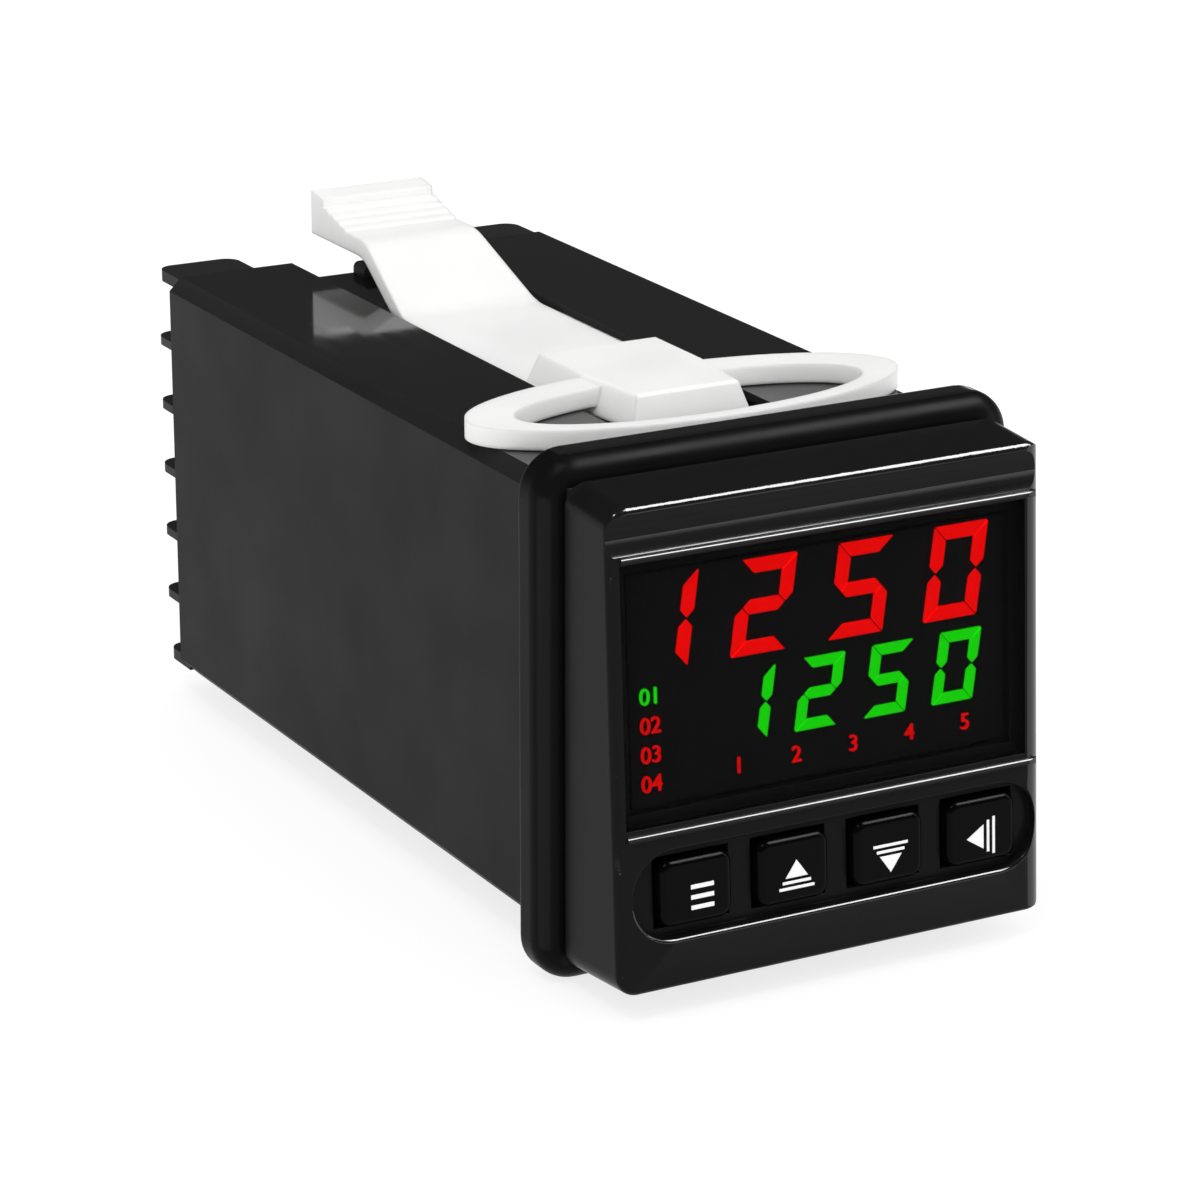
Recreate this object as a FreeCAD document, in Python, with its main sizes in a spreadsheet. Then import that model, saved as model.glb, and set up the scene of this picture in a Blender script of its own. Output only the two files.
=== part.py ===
import FreeCAD, Part
import math
import os
import re
import Sketcher

# Panel temperature controller, millimetres.
# The seat of the collar on the panel is the plane y = 0, the face looks along -Y,
# and the sleeve runs back along +Y.  X is to the right of someone facing it, Z is up.

doc = FreeCAD.newDocument("temperature_controller")
sheet = doc.addObject("Spreadsheet::Sheet", "sizes")


SIZES = {    # Sleeve
    "sleeve_side": 0.3,  # side of the sleeve set in from the face's side
    "sleeve_rise": 0.45,  # top and base of the sleeve set in from the face's height
    "sleeve_length": 80.0,  # sleeve behind the panel seat
    "sleeve_wall": 1.7,  # wall of the sleeve
    "top_chamfer": 1.3,  # bevel along the top edges
    "base_chamfer": 2.0,  # bevel along the lower edges

    # Collar that stops the sleeve on the panel
    "collar_side": 2.3,  # reach of the collar beside the sleeve
    "collar_rise": 3.0,  # reach of the collar above and below the sleeve
    "collar_depth": 4.6,  # collar ahead of the panel seat
    "collar_corner": 4.0,  # corner radius of the collar
    "collar_front_round": 2.2,  # rounding of the front rim
    "collar_rear_round": 0.8,  # rounding of the rear rim

    # Groove on top of the sleeve, in which the mounting clip runs
    "channel_width": 16.4,  # clear width between the groove's lips
    "channel_depth": 1.9,  # depth of the groove
    "channel_start": 3.0,  # start of the groove behind the panel seat
    "channel_wall": 1.5,  # wall under and beside the groove
    "lip_height": 0.8,  # thickness of the lips that hold the clip down
    "lip_reach": 0.9,  # reach of each lip over the clip
    "rack_width": 5.0,  # width of the row of teeth in the groove
    "rack_start": 24.0,  # first tooth behind the panel seat
    "tooth_pitch": 2.0,  # pitch of the teeth
    "tooth_height": 0.4,  # height of the teeth
    "tooth_length": 1.6,  # length of a tooth along the groove
    "rack_end": 12.0,  # last tooth ahead of the sleeve's end
    "stop_width": 2.4,  # width of the stop at the end of the groove
    "stop_length": 2.6,  # length of the stop
    "stop_height": 1.25,  # height of the stop

    # Terminal block that closes the rear
    "block_gap": 0.15,  # clearance of the terminal block in the sleeve
    "block_floor": 3.0,  # depth of the block inside the sleeve
    "block_rim": 0.6,  # rim that seats on the end of the sleeve
    "rim_inset": 0.3,  # rim set in from the outside of the sleeve
    "terminal_pitch": 6.81,  # pitch of the terminals, up and down
    "terminal_rise": 0.5,  # middle of the terminal rows above the axis
    "column_inner": 5.8,  # inner columns of terminals from the axis
    "column_margin": 5.4,  # outer columns of terminals from the sleeve's side
    "fin_length": 4.2,  # length of the dividing fins
    "fin_wall": 0.9,  # thickness of the dividing fins
    "fin_corner": 1.8,  # rounding of the fins' corners
    "tongue_width": 8.6,  # width of the rear tongues
    "tongue_margin": 1.3,  # rear tongues from the sleeve's side
    "tongue_length": 5.6,  # length of the rear tongues
    "tongue_wall": 1.2,  # thickness of the rear tongues
    "tongue_corner": 1.6,  # corner radius of the rear tongues
    "rim_step_gap": 0.1,  # rim below the groove's floor
    "bore_gap": 0.05,  # clearance round the screws and springs

    # Terminals
    "screw_head": 4.6,  # diameter of the terminal screw heads
    "head_height": 1.6,  # height of the screw heads
    "screw_shank": 3.0,  # diameter of the screw shanks
    "shank_length": 3.4,  # length of the shanks under the clamp
    "slot_width": 0.8,  # width of the cross slots
    "slot_depth": 0.8,  # depth of the cross slots
    "slot_length": 3.7,  # length of the cross slots
    "clamp_width": 6.0,  # width of the clamp plates
    "clamp_height": 4.6,  # height of the clamp plates
    "clamp_thickness": 0.8,  # thickness of the clamp plates
    "contact_thickness": 0.4,  # thickness of the contact springs
    "contact_width": 1.8,  # width of the contact springs
    "contact_drop": 0.7,  # middle of a spring's blade below its terminal
    "contact_foot": 4.4,  # width of a spring's foot under the clamp plate
    "contact_reach": 7.0,  # reach of the springs ahead of the block
    "contact_gap": 0.15,  # relaxed gap between spring and board

    # Bezel of the plug-in module
    "seal_thickness": 0.9,  # compressed seal between collar and bezel
    "seal_width": 1.6,  # width of the seal
    "bezel_side": 0.1,  # spread of the bezel's sides from the face to the seal
    "bezel_rise": 0.6,  # spread of its top and base from the face to the seal
    "bezel_corner": 2.0,  # radius of the bezel's long corners
    "face_reach": 13.95,  # middle of the face ahead of the panel seat
    "face_rise": 0.2,  # middle of the face above the axis
    "face_tilt": 3.4,  # degrees by which the face leans back
    "face_round": 0.7,  # rounding of the face's edges
    "face_wall": 2.2,  # wall behind the face
    "bay_side": 2.0,  # wall beside the bay for the keys and the display
    "bay_end": 3.85,  # wall above and below the bay
    "bay_depth": 6.0,  # depth of the bay behind the face's wall
    "skirt_gap": 0.2,  # clearance of the bezel's skirt in the sleeve
    "skirt_wall": 1.2,  # wall of the skirt
    "skirt_length": 5.0,  # length of the skirt behind the panel seat

    # Window
    "window_left": 1.1,  # left edge of the window from the face's edge
    "window_drop": 5.0,  # top of the window below the face's top edge
    "window_thickness": 1.1,  # thickness of the window
    "window_ledge": 1.0,  # ledge that carries the window
    "window_gap": 0.05,  # clearance round the window
    "ridge_radius": 0.33,  # radius of the two round ridges across the face
    "cove_start": 0.7,  # upper edge of the cove below the face's top edge
    "cove_end": 4.2,  # lower edge of the cove below the face's top edge
    "cove_depth": 0.5,  # depth of the cove above the window
    "flank_round": 2.3,  # rounding of the face's right flank
    "ridge_above": 0.4,  # upper ridge above the window
    "ridge_below": 0.8,  # lower ridge below the window

    # Keys
    "recess_left": 1.7,  # recess round the keys from the face's left edge
    "recess_right": 1.0,  # recess from the face's right edge
    "recess_drop": 2.45,  # recess below the window
    "recess_height": 8.1,  # height of the recess
    "face_foot": 4.55,  # face below the recess
    "recess_depth": 1.3,  # depth of the recess
    "recess_round": 0.35,  # rounding of the recess's rim
    "key_width": 7.3,  # width of a key
    "key_height": 6.2,  # height of a key
    "key_left": 2.675,  # first key from the recess's left end
    "key_right": 2.175,  # last key from the recess's right end
    "key_corner": 1.2,  # corner radius of the keys
    "key_round": 0.7,  # rounding of the keys' front edge
    "key_gap": 0.15,  # clearance round a key
    "key_inset": 0.15,  # front of the keys behind the face
    "key_travel": 0.7,  # travel of a key
    "key_flange": 0.6,  # thickness and reach of a key's flange

    # Display
    "display_gap": 0.35,  # gap between window and display
    "display_depth": 5.4,  # depth of the display block
    "display_side": 0.4,  # clearance beside the display block
    "lit_thickness": 0.25,  # thickness of the lit segments
    "digit_slant": 9.0,  # slant of the digits in degrees
    "upper_digit_height": 8.5,  # height of the upper digits
    "upper_digit_width": 5.5,  # width of the upper digits
    "upper_digit_space": 4.35,  # space between the upper digits
    "upper_digit_stroke": 1.25,  # stroke of the upper digits
    "digit_left": 1.225,  # upper digits from the left side of the display opening
    "digit_right": 2.725,  # upper digits from the right side of the display opening
    "digit_margin": 1.65,  # upper digits below the top of the window
    "lower_digit_height": 6.5,  # height of the lower digits
    "lower_digit_width": 4.2,  # width of the lower digits
    "lower_digit_space": 2.9,  # space between the lower digits
    "lower_digit_stroke": 0.95,  # stroke of the lower digits
    "lower_digit_inset": 0.625,  # right end of the lower digits short of the upper ones
    "digit_gap": 1.25,  # gap between the upper and the lower digits
    "lamp_width": 4.8,  # width of the lamps in the left column
    "lamp_height": 1.3,  # height of the lamps
    "lamp_inset": 0.075,  # column of lamps in from the left end of the upper digits
    "lamp_step": 0.16,  # last lamp of the column below the row of lamps
    "lamp_column_pitch": 2.62,  # pitch of the lamps in the column
    "lamp_gap": 1.35,  # row of lamps below the lower digits
    "lamp_margin": 3.05,  # base of the window below the row of lamps
    "lamp_row_inset": 0.95,  # first lamp of the row right of the lower digits' left end
    "lamp_row_pitch": 5.85,  # pitch of the lamps in the row
    "lamp_row_width": 2.4,  # width of the lamps in the row

    # Circuit boards and what they carry
    "board_thickness": 1.6,  # thickness of every circuit board
    "board_spread": 11.6,  # middle of the long boards from the axis
    "board_front": 3.9,  # front end of the long boards ahead of the panel seat
    "board_rear_gap": 0.6,  # gap between the long boards and the terminal block
    "board_gap": 0.2,  # clearance above and below the boards
    "board_trim": 0.5,  # display board shorter than the long boards at each end
    "header_width": 3.6,  # width of the board connectors
    "header_length": 8.0,  # length of the board connectors
    "header_height": 15.0,  # height of the board connectors
    "switch_size": 6.0,  # side of the key switches
    "switch_body": 2.0,  # height of a switch without its plunger
    "switch_plunger": 3.2,  # diameter of the switch plungers
    "switch_gap": 0.1,  # gap between a released key and its switch
    "transformer_start": 16.0,  # front of the transformer behind the panel seat
    "transformer_width": 18.0,  # length of the transformer along the board
    "transformer_height": 16.0,  # height of the transformer
    "transformer_depth": 12.0,  # transformer off the board
    "winding_inset": 2.6,  # winding set in from the core's ends
    "winding_rise": 0.8,  # winding proud of the core, away from the board
    "winding_base": 1.0,  # winding off the board
    "winding_overhang": 1.5,  # winding proud of the core, up and down
    "capacitor_diameter": 10.0,  # diameter of the input capacitor
    "capacitor_clear": 0.4,  # end of the input capacitor from the axis
    "capacitor_place": 46.0,  # axis of the capacitor behind the panel seat
    "relay_length": 19.0,  # length of a relay along the board
    "relay_height": 15.0,  # height of a relay
    "relay_middle": 1.2,  # top of the relays from the axis
    "relay_clear": 5.0,  # gap between the relays and the contact springs
    "relay_gap": 1.2,  # gap between the two relays
    "chip_size": 10.0,  # side of the processor
    "chip_thickness": 1.4,  # thickness of the processor
    "chip_place": 22.0,  # middle of the processor behind the panel seat

    # Working allowances of cuts and joins
    "cut_overrun": 1.0,  # run of a cut past what it opens
    "root_overlap": 0.2,  # sink of a raised form into what carries it

    # Mounting clip
    "clip_width": 14.9,  # width of the clip's strap
    "clip_lift": 0.15,  # clearance of the clip in its groove
    "strap_thickness": 1.3,  # thickness of the strap
    "strap_start": 20.6,  # front end of the strap behind the panel seat
    "clip_tail": 23.7,  # foot of the ramp ahead of the clip's rear end
    "ramp_length": 11.0,  # length of the ramp
    "ramp_rise": 5.35,  # rise of the ramp
    "head_width": 12.6,  # width of the clip's head
    "head_thickness": 1.75,  # thickness of the head ahead of its ridges
    "ramp_shift": 1.0,  # underside of the ramp's foot behind its top side
    "lip_slope": 0.5,  # fall of the lip towards its front
    "head_inset": 0.6,  # rear end of the head ahead of the sleeve's end
    "head_lip": 2.9,  # length of the raised lip
    "head_lip_height": 4.55,  # height of the head at its lip
    "grip_pitch": 1.35,  # pitch of the finger ridges
    "grip_step": 0.38,  # height of one finger ridge
    "grip_run": 1.0,  # gently sloping length of a finger ridge
    "grip_fall": 0.1,  # fall of a finger ridge over that length
    "grip_count": 4,  # number of finger ridges
    "ring_lift": 0.1,  # clearance of the spring ring above the sleeve
    "ring_thickness": 1.8,  # thickness of the spring ring
    "ring_side": 0.2,  # reach of the spring ring beside the sleeve
    "ring_length": 17.9,  # length of the spring ring
    "ring_front": 3.8,  # front of the spring ring behind the panel seat
    "ring_end": 4.3,  # width of the ring's end bows
    "ring_hole_length": 12.6,  # length of the ring's opening
    "ring_front_bar": 1.6,  # width of the ring's front bar
    "tongue_front": 12.4,  # front end of the pressing tongue behind the panel seat
    "pad_width": 12.4,  # width of the pad on top of the ring
    "pad_tip_width": 10.4,  # width of the pad at its tip
    "pad_waist": 20.6,  # where the pad has its full width, behind the panel seat
    "pad_end": 29.3,  # rear end of the raised pad behind the panel seat
    "groove_reach": 0.5,  # side clearance of the strap's underside over the teeth
    "pad_draft": 18,  # slope of the pad's sides in degrees
    "pad_rise": 0.4,  # top of the pad above the ring
    "pad_round": 0.35,  # rounding of the pad's top edges
    "pad_root": 0.3,  # root of the pad inside the strap
    "ramp_round": 6.0,  # bend at both ends of the ramp
    "flange_setback": 3.7,  # rear end of the side flanges ahead of the ramp
    "clip_round": 0.4,  # rounding of the finger head's edges
}

for row, (name, number) in enumerate(SIZES.items(), 1):
    sheet.set("A%d" % row, name)
    sheet.set("B%d" % row, str(number))
    sheet.setAlias("B%d" % row, name)
doc.recompute()

ALIAS = re.compile(r"\b[a-z]+(?:_[a-z]+)+\b")
FAILED_STATES = {"Invalid", "Error"}
nodes = []


def value(name):
    """One driving dimension as a number."""
    return float(sheet.get(name))


def in_sheet(formula):
    """The formula with its sizes named as cells of the sheet."""
    return ALIAS.sub(lambda word: "sizes." + word.group(0), formula)


def number_of(formula):
    """A formula of driving dimensions, worked out."""
    return float(sheet.evalExpression(formula))


def bind(item, prop, formula):
    """Tie a property to a formula of driving dimensions."""
    item.setExpression(prop, in_sheet(formula))


def named(item, label):
    """Give a sub-part the name of its node."""
    item.Label = label
    nodes.append(item)
    return item


def new_body(label):
    body = doc.addObject("PartDesign::Body", label)
    body.AllowCompound = True
    return named(body, label)


def on_face(item):
    """Stand a sub-part in the leaning plane of the face, with its own y = 0 on the face."""
    item.Placement = FreeCAD.Placement(
        FreeCAD.Vector(0, -value("face_reach"), value("face_rise")),
        FreeCAD.Rotation(FreeCAD.Vector(1, 0, 0), -value("face_tilt")),
    )
    bind(item, "Placement.Base.y", "-face_reach")
    bind(item, "Placement.Base.z", "face_rise")
    bind(item, "Placement.Rotation.Angle", "-face_tilt")


def new_sketch(body, name, plane="XZ_Plane", offset="0"):
    """A sketch on one of the body's own planes, moved along the plane's normal."""
    sketch = body.newObject("Sketcher::SketchObject", name)
    support = [part for part in body.Origin.OriginFeatures if part.Role == plane][0]
    sketch.AttachmentSupport = [(support, "")]
    sketch.MapMode = "FlatFace"
    bind(sketch, "AttachmentOffset.Base.z", offset)
    return sketch


def lean(sketch, behind="0"):
    """Lay a sketch in the plane of the face, or in a parallel one behind it."""
    sketch.AttachmentOffset = FreeCAD.Placement(
        FreeCAD.Vector(0, value("face_rise"), value("face_reach")),
        FreeCAD.Rotation(FreeCAD.Vector(1, 0, 0), -value("face_tilt")),
    )
    bind(sketch, "AttachmentOffset.Base.y", "face_rise - (%s) * sin(face_tilt)" % behind)
    bind(sketch, "AttachmentOffset.Base.z", "face_reach - (%s) * cos(face_tilt)" % behind)
    bind(sketch, "AttachmentOffset.Rotation.Angle", "-face_tilt")


def hold(sketch, kind, formula, *places):
    """A dimension of the sketch that follows a formula."""
    number = sketch.addConstraint(Sketcher.Constraint(kind, *places, number_of(formula)))
    bind(sketch, "Constraints[%d]" % number, formula)


def fix_point(sketch, geometry, point, across, up):
    """Hold a point of the sketch at two formulas from the sketch's origin."""
    hold(sketch, "DistanceX", across, -1, 1, geometry, point)
    hold(sketch, "DistanceY", up, -1, 1, geometry, point)


def spot(across, up):
    """A point of a sketch from two formulas."""
    return FreeCAD.Vector(number_of(across), number_of(up), 0)


def outline(sketch, corners):
    """A closed outline, whose corners are pairs of formulas in turning order."""
    first = sketch.GeometryCount
    count = len(corners)
    points = [spot(across, up) for across, up in corners]
    for corner in range(count):
        sketch.addGeometry(Part.LineSegment(points[corner], points[(corner + 1) % count]), False)
    for corner in range(count):
        following = first + (corner + 1) % count
        sketch.addConstraint(Sketcher.Constraint("Coincident", first + corner, 2, following, 1))
    for corner, (across, up) in enumerate(corners):
        fix_point(sketch, first + corner, 1, across, up)


def box_outline(sketch, left, right, low, high):
    outline(sketch, [(left, low), (right, low), (right, high), (left, high)])


def centred_outline(sketch, width, height, across="0", up="0"):
    box_outline(
        sketch,
        "(%s) - (%s) / 2" % (across, width),
        "(%s) + (%s) / 2" % (across, width),
        "(%s) - (%s) / 2" % (up, height),
        "(%s) + (%s) / 2" % (up, height),
    )


def disc(sketch, across, up, radius):
    """A full circle."""
    circle = Part.Circle(spot(across, up), FreeCAD.Vector(0, 0, 1), number_of(radius))
    ring = sketch.addGeometry(circle, False)
    fix_point(sketch, ring, 3, across, up)
    hold(sketch, "Radius", radius, ring)


def oval(sketch, width, length, up):
    """An ellipse across the sketch, with its middle on the upright axis."""
    shape = Part.Ellipse(
        spot("(%s) / 2" % width, up),
        spot("0", "(%s) + (%s) / 2" % (up, length)),
        spot("0", up),
    )
    curve = sketch.addGeometry(shape, False)
    sketch.exposeInternalGeometry(curve)
    major = curve + 1
    minor = curve + 2
    fix_point(sketch, curve, 3, "0", up)
    sketch.addConstraint(Sketcher.Constraint("Horizontal", major))
    hold(sketch, "Distance", width, major)
    hold(sketch, "Distance", length, minor)


def extrude(kind, name, sketch, length=None, reverse=False, middle=False):
    """A pad or pocket of a sketch; with no length it runs through everything."""
    body = sketch.getParentGeoFeatureGroup()
    feature = body.newObject("PartDesign::" + kind, name)
    feature.Profile = sketch
    feature.Reversed = reverse
    feature.Midplane = middle
    if length is None:
        feature.Type = "ThroughAll"
    else:
        bind(feature, "Length", length)
    sketch.Visibility = False
    doc.recompute()
    return feature


def edges_of(feature, test):
    """Names of the straight edges that pass a test on their ends."""
    chosen = []
    for number, edge in enumerate(feature.Shape.Edges, 1):
        ends = [vertex.Point for vertex in edge.Vertexes]
        if len(ends) == 2 and near(edge.Length, ends[0].distanceToPoint(ends[1])) and test(*ends):
            chosen.append("Edge%d" % number)
    return chosen


def runs_along(axis, tilt=0.0):
    """A test for edges parallel to an axis, or nearly so."""
    limit = math.cos(math.radians(tilt + SLACK))

    def test(first, second):
        run = second - first
        return abs(run.normalize()[axis]) >= limit

    return test


def dress(kind, name, feature, edge_names, prop, formula):
    """A fillet or chamfer on named edges of the body's last feature."""
    body = feature.getParentGeoFeatureGroup()
    item = body.newObject("PartDesign::" + kind, name)
    item.Base = (feature, edge_names)
    bind(item, prop, formula)
    doc.recompute()
    return item


SLACK = 0.01


def near(first, second):
    return abs(first - second) < SLACK


def block(label, left, right, front, rear, low, high):
    """A plain box between three pairs of formulas."""
    item = doc.addObject("Part::Box", label)
    bind(item, "Length", "(%s) - (%s)" % (right, left))
    bind(item, "Width", "(%s) - (%s)" % (rear, front))
    bind(item, "Height", "(%s) - (%s)" % (high, low))
    bind(item, "Placement.Base.x", left)
    bind(item, "Placement.Base.y", front)
    bind(item, "Placement.Base.z", low)
    return item


# Levels and widths that several pieces share
OPENING_WIDTH = "digit_left + 4 * upper_digit_width + 3 * upper_digit_space + digit_right"
WINDOW_WIDTH = "(2 * window_ledge + %s)" % OPENING_WIDTH
WINDOW_HEIGHT = ("(digit_margin + upper_digit_height + digit_gap + lower_digit_height"
                 " + lamp_gap + lamp_height + lamp_margin)")
FACE_WIDTH = "(window_left + %s + flank_round)" % WINDOW_WIDTH
FACE_HEIGHT = "(window_drop + %s + recess_drop + recess_height + face_foot)" % WINDOW_HEIGHT
BEZEL_WIDTH = FACE_WIDTH + " + 2 * bezel_side"
BEZEL_HEIGHT = FACE_HEIGHT + " + 2 * bezel_rise"
TOP = "(%s / 2 - sleeve_rise)" % FACE_HEIGHT
SIDE = "(%s / 2 - sleeve_side)" % FACE_WIDTH
GROOVE_FLOOR = TOP + " - channel_depth"
LIP_BASE = TOP + " - lip_height"
LIP_SIDE = "channel_width / 2 + lip_reach"
CHANNEL_BASE = GROOVE_FLOOR + " - channel_wall"
FACE_TOP = FACE_HEIGHT + " / 2"
BEZEL_REAR = "collar_depth + seal_thickness"
BLOCK_BACK = "sleeve_length + block_rim"
CONTACT_BACK = BLOCK_BACK + " + contact_thickness"
CLAMP_BACK = CONTACT_BACK + " + clamp_thickness"
BOARD_OUT = "board_spread + board_thickness / 2"
BOARD_IN = "board_spread - board_thickness / 2"
COLUMN_PLACE = {
    "outer": "(%s - column_margin)" % SIDE,
    "inner": "column_inner",
}
BLADE_MIDDLE = {
    "outer": BOARD_OUT + " + contact_gap + contact_thickness / 2",
    "inner": BOARD_IN + " - contact_gap - contact_thickness / 2",
}
HEAD_END = "sleeve_length - head_inset"
RAMP_START = HEAD_END + " - clip_tail"


def cavity(gap):
    """Outline inside the sleeve, less a clearance; it steps down under the groove."""
    side = "%s - sleeve_wall - (%s)" % (SIDE, gap)
    low = "-(%s - sleeve_wall - (%s))" % (TOP, gap)
    high = "%s - sleeve_wall - (%s)" % (TOP, gap)
    step_side = "%s + channel_wall + (%s)" % (LIP_SIDE, gap)
    step_low = "%s - (%s)" % (CHANNEL_BASE, gap)
    return [
        ("-(%s)" % side, low),
        (side, low),
        (side, high),
        (step_side, high),
        (step_side, step_low),
        ("-(%s)" % step_side, step_low),
        ("-(%s)" % step_side, high),
        ("-(%s)" % side, high),
    ]


KEY_NAMES = ["key_menu", "key_up", "key_down", "key_shift_left"]
RECESS_WIDTH = "(%s - recess_left - recess_right)" % FACE_WIDTH
RECESS_MIDDLE = "(recess_left - recess_right) / 2"
KEY_PITCH = "(%s - key_left - key_right - key_width) / %d" % (RECESS_WIDTH, len(KEY_NAMES) - 1)
KEY_LEVEL = "(%s - window_drop - %s - recess_drop - recess_height / 2)" % (FACE_TOP, WINDOW_HEIGHT)


def key_across(place):
    """Middle of a key, to the right of the axis."""
    return "recess_left - %s / 2 + key_left + key_width / 2 + %d * %s" % (FACE_WIDTH, place, KEY_PITCH)


TERMINAL_ROWS = 6
TERMINAL_COLUMNS = [(-1, "outer"), (-1, "inner"), (1, "inner"), (1, "outer")]


def row_level(row):
    """Height of a row of terminals, counted from the top."""
    return "terminal_rise + %.1f * terminal_pitch" % ((TERMINAL_ROWS - 1) / 2 - row)


def terminals():
    """Hand, column and row of each terminal; the groove leaves no room at the top of the inner columns."""
    places = []
    for hand, column in TERMINAL_COLUMNS:
        first = 1 if column == "inner" else 0
        places += [(hand, column, row) for row in range(first, TERMINAL_ROWS)]
    return places


def lower_half(side, high):
    """Outline of the sleeve from its left flank round below to the upper right bevel."""
    return [
        ("-(%s)" % side, "-(%s) + base_chamfer" % high),
        ("-(%s) + base_chamfer" % side, "-(%s)" % high),
        ("%s - base_chamfer" % side, "-(%s)" % high),
        (side, "-(%s) + base_chamfer" % high),
        (side, "%s - top_chamfer" % high),
    ]


# Sleeve with its collar, groove and rack
def make_sleeve():
    body = new_body("housing_sleeve")
    shell = new_sketch(body, "sleeve_section")
    outline(shell, lower_half(SIDE, TOP) + [
        ("%s - top_chamfer" % SIDE, TOP),
        ("-(%s) + top_chamfer" % SIDE, TOP),
        ("-(%s)" % SIDE, "%s - top_chamfer" % TOP),
    ])
    extrude("Pad", "sleeve_run", shell, "sleeve_length", reverse=True)

    rim = new_sketch(body, "collar_section")
    centred_outline(rim, "2 * (%s + collar_side)" % SIDE, "2 * (%s + collar_rise)" % TOP)
    collar = extrude("Pad", "collar_run", rim, "collar_depth")
    half_width = number_of(SIDE + " + collar_side")
    half_height = number_of(TOP + " + collar_rise")

    def corner(first, second):
        at_corner = near(abs(first.x), half_width) and near(abs(first.z), half_height)
        return at_corner and runs_along(1)(first, second)

    rounded = dress("Fillet", "collar_corners", collar, edges_of(collar, corner), "Radius", "collar_corner")
    depth = value("collar_depth")

    def rim_edges(feature, level):
        chosen = []
        for number, edge in enumerate(feature.Shape.Edges, 1):
            box = edge.BoundBox
            beside = max(-box.XMin, box.XMax) - number_of(SIDE)
            above = max(-box.ZMin, box.ZMax) - number_of(TOP)
            if near(box.YMin, level) and near(box.YMax, level) and max(beside, above) > SLACK:
                chosen.append("Edge%d" % number)
        return chosen

    front = dress("Fillet", "collar_front", rounded, rim_edges(rounded, -depth),
                  "Radius", "collar_front_round")
    dress("Fillet", "collar_rear", front, rim_edges(front, 0.0), "Radius", "collar_rear_round")

    hollow = new_sketch(body, "cavity_section", offset="collar_depth")
    outline(hollow, cavity("0"))
    extrude("Pocket", "cavity_run", hollow)

    groove = new_sketch(body, "groove_section", offset="-channel_start")
    outline(groove, [
        ("-(channel_width / 2)", "%s + cut_overrun" % TOP),
        ("-(channel_width / 2)", LIP_BASE),
        ("-(%s)" % LIP_SIDE, LIP_BASE),
        ("-(%s)" % LIP_SIDE, GROOVE_FLOOR),
        (LIP_SIDE, GROOVE_FLOOR),
        (LIP_SIDE, LIP_BASE),
        ("channel_width / 2", LIP_BASE),
        ("channel_width / 2", "%s + cut_overrun" % TOP),
    ])
    extrude("Pocket", "groove_run", groove)

    stop = new_sketch(body, "stop_section", "YZ_Plane")
    box_outline(stop, "sleeve_length - stop_length", "sleeve_length",
                "%s - root_overlap" % GROOVE_FLOOR, "%s + stop_height" % GROOVE_FLOOR)
    boss = extrude("Pad", "stop_run", stop, "stop_width", middle=True)

    def stop_side(first, second):
        crown = number_of(GROOVE_FLOOR + " + stop_height")
        return runs_along(1)(first, second) and near(first.z, crown)

    dress("Fillet", "stop_rounding", boss, edges_of(boss, stop_side), "Radius", "stop_height / 2")

    tooth = new_sketch(body, "tooth_section", "YZ_Plane")
    outline(tooth, [
        ("rack_start", "%s - root_overlap" % GROOVE_FLOOR),
        ("rack_start + tooth_length", "%s - root_overlap" % GROOVE_FLOOR),
        ("rack_start + tooth_length", GROOVE_FLOOR),
        ("rack_start", "%s + tooth_height" % GROOVE_FLOOR),
    ])
    first_tooth = extrude("Pad", "tooth", tooth, "rack_width", middle=True)
    rack = body.newObject("PartDesign::LinearPattern", "rack")
    rack.Originals = [first_tooth]
    rack.Direction = (tooth, ["H_Axis"])
    steps = "floor((sleeve_length - rack_end - rack_start) / tooth_pitch)"
    bind(rack, "Length", "tooth_pitch * " + steps)
    bind(rack, "Occurrences", "1 + " + steps)
    body.Tip = rack


TONGUE_OUTER = "(%s - tongue_margin)" % SIDE
TONGUE_INNER = "(%s - tongue_margin - tongue_width)" % SIDE


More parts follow.
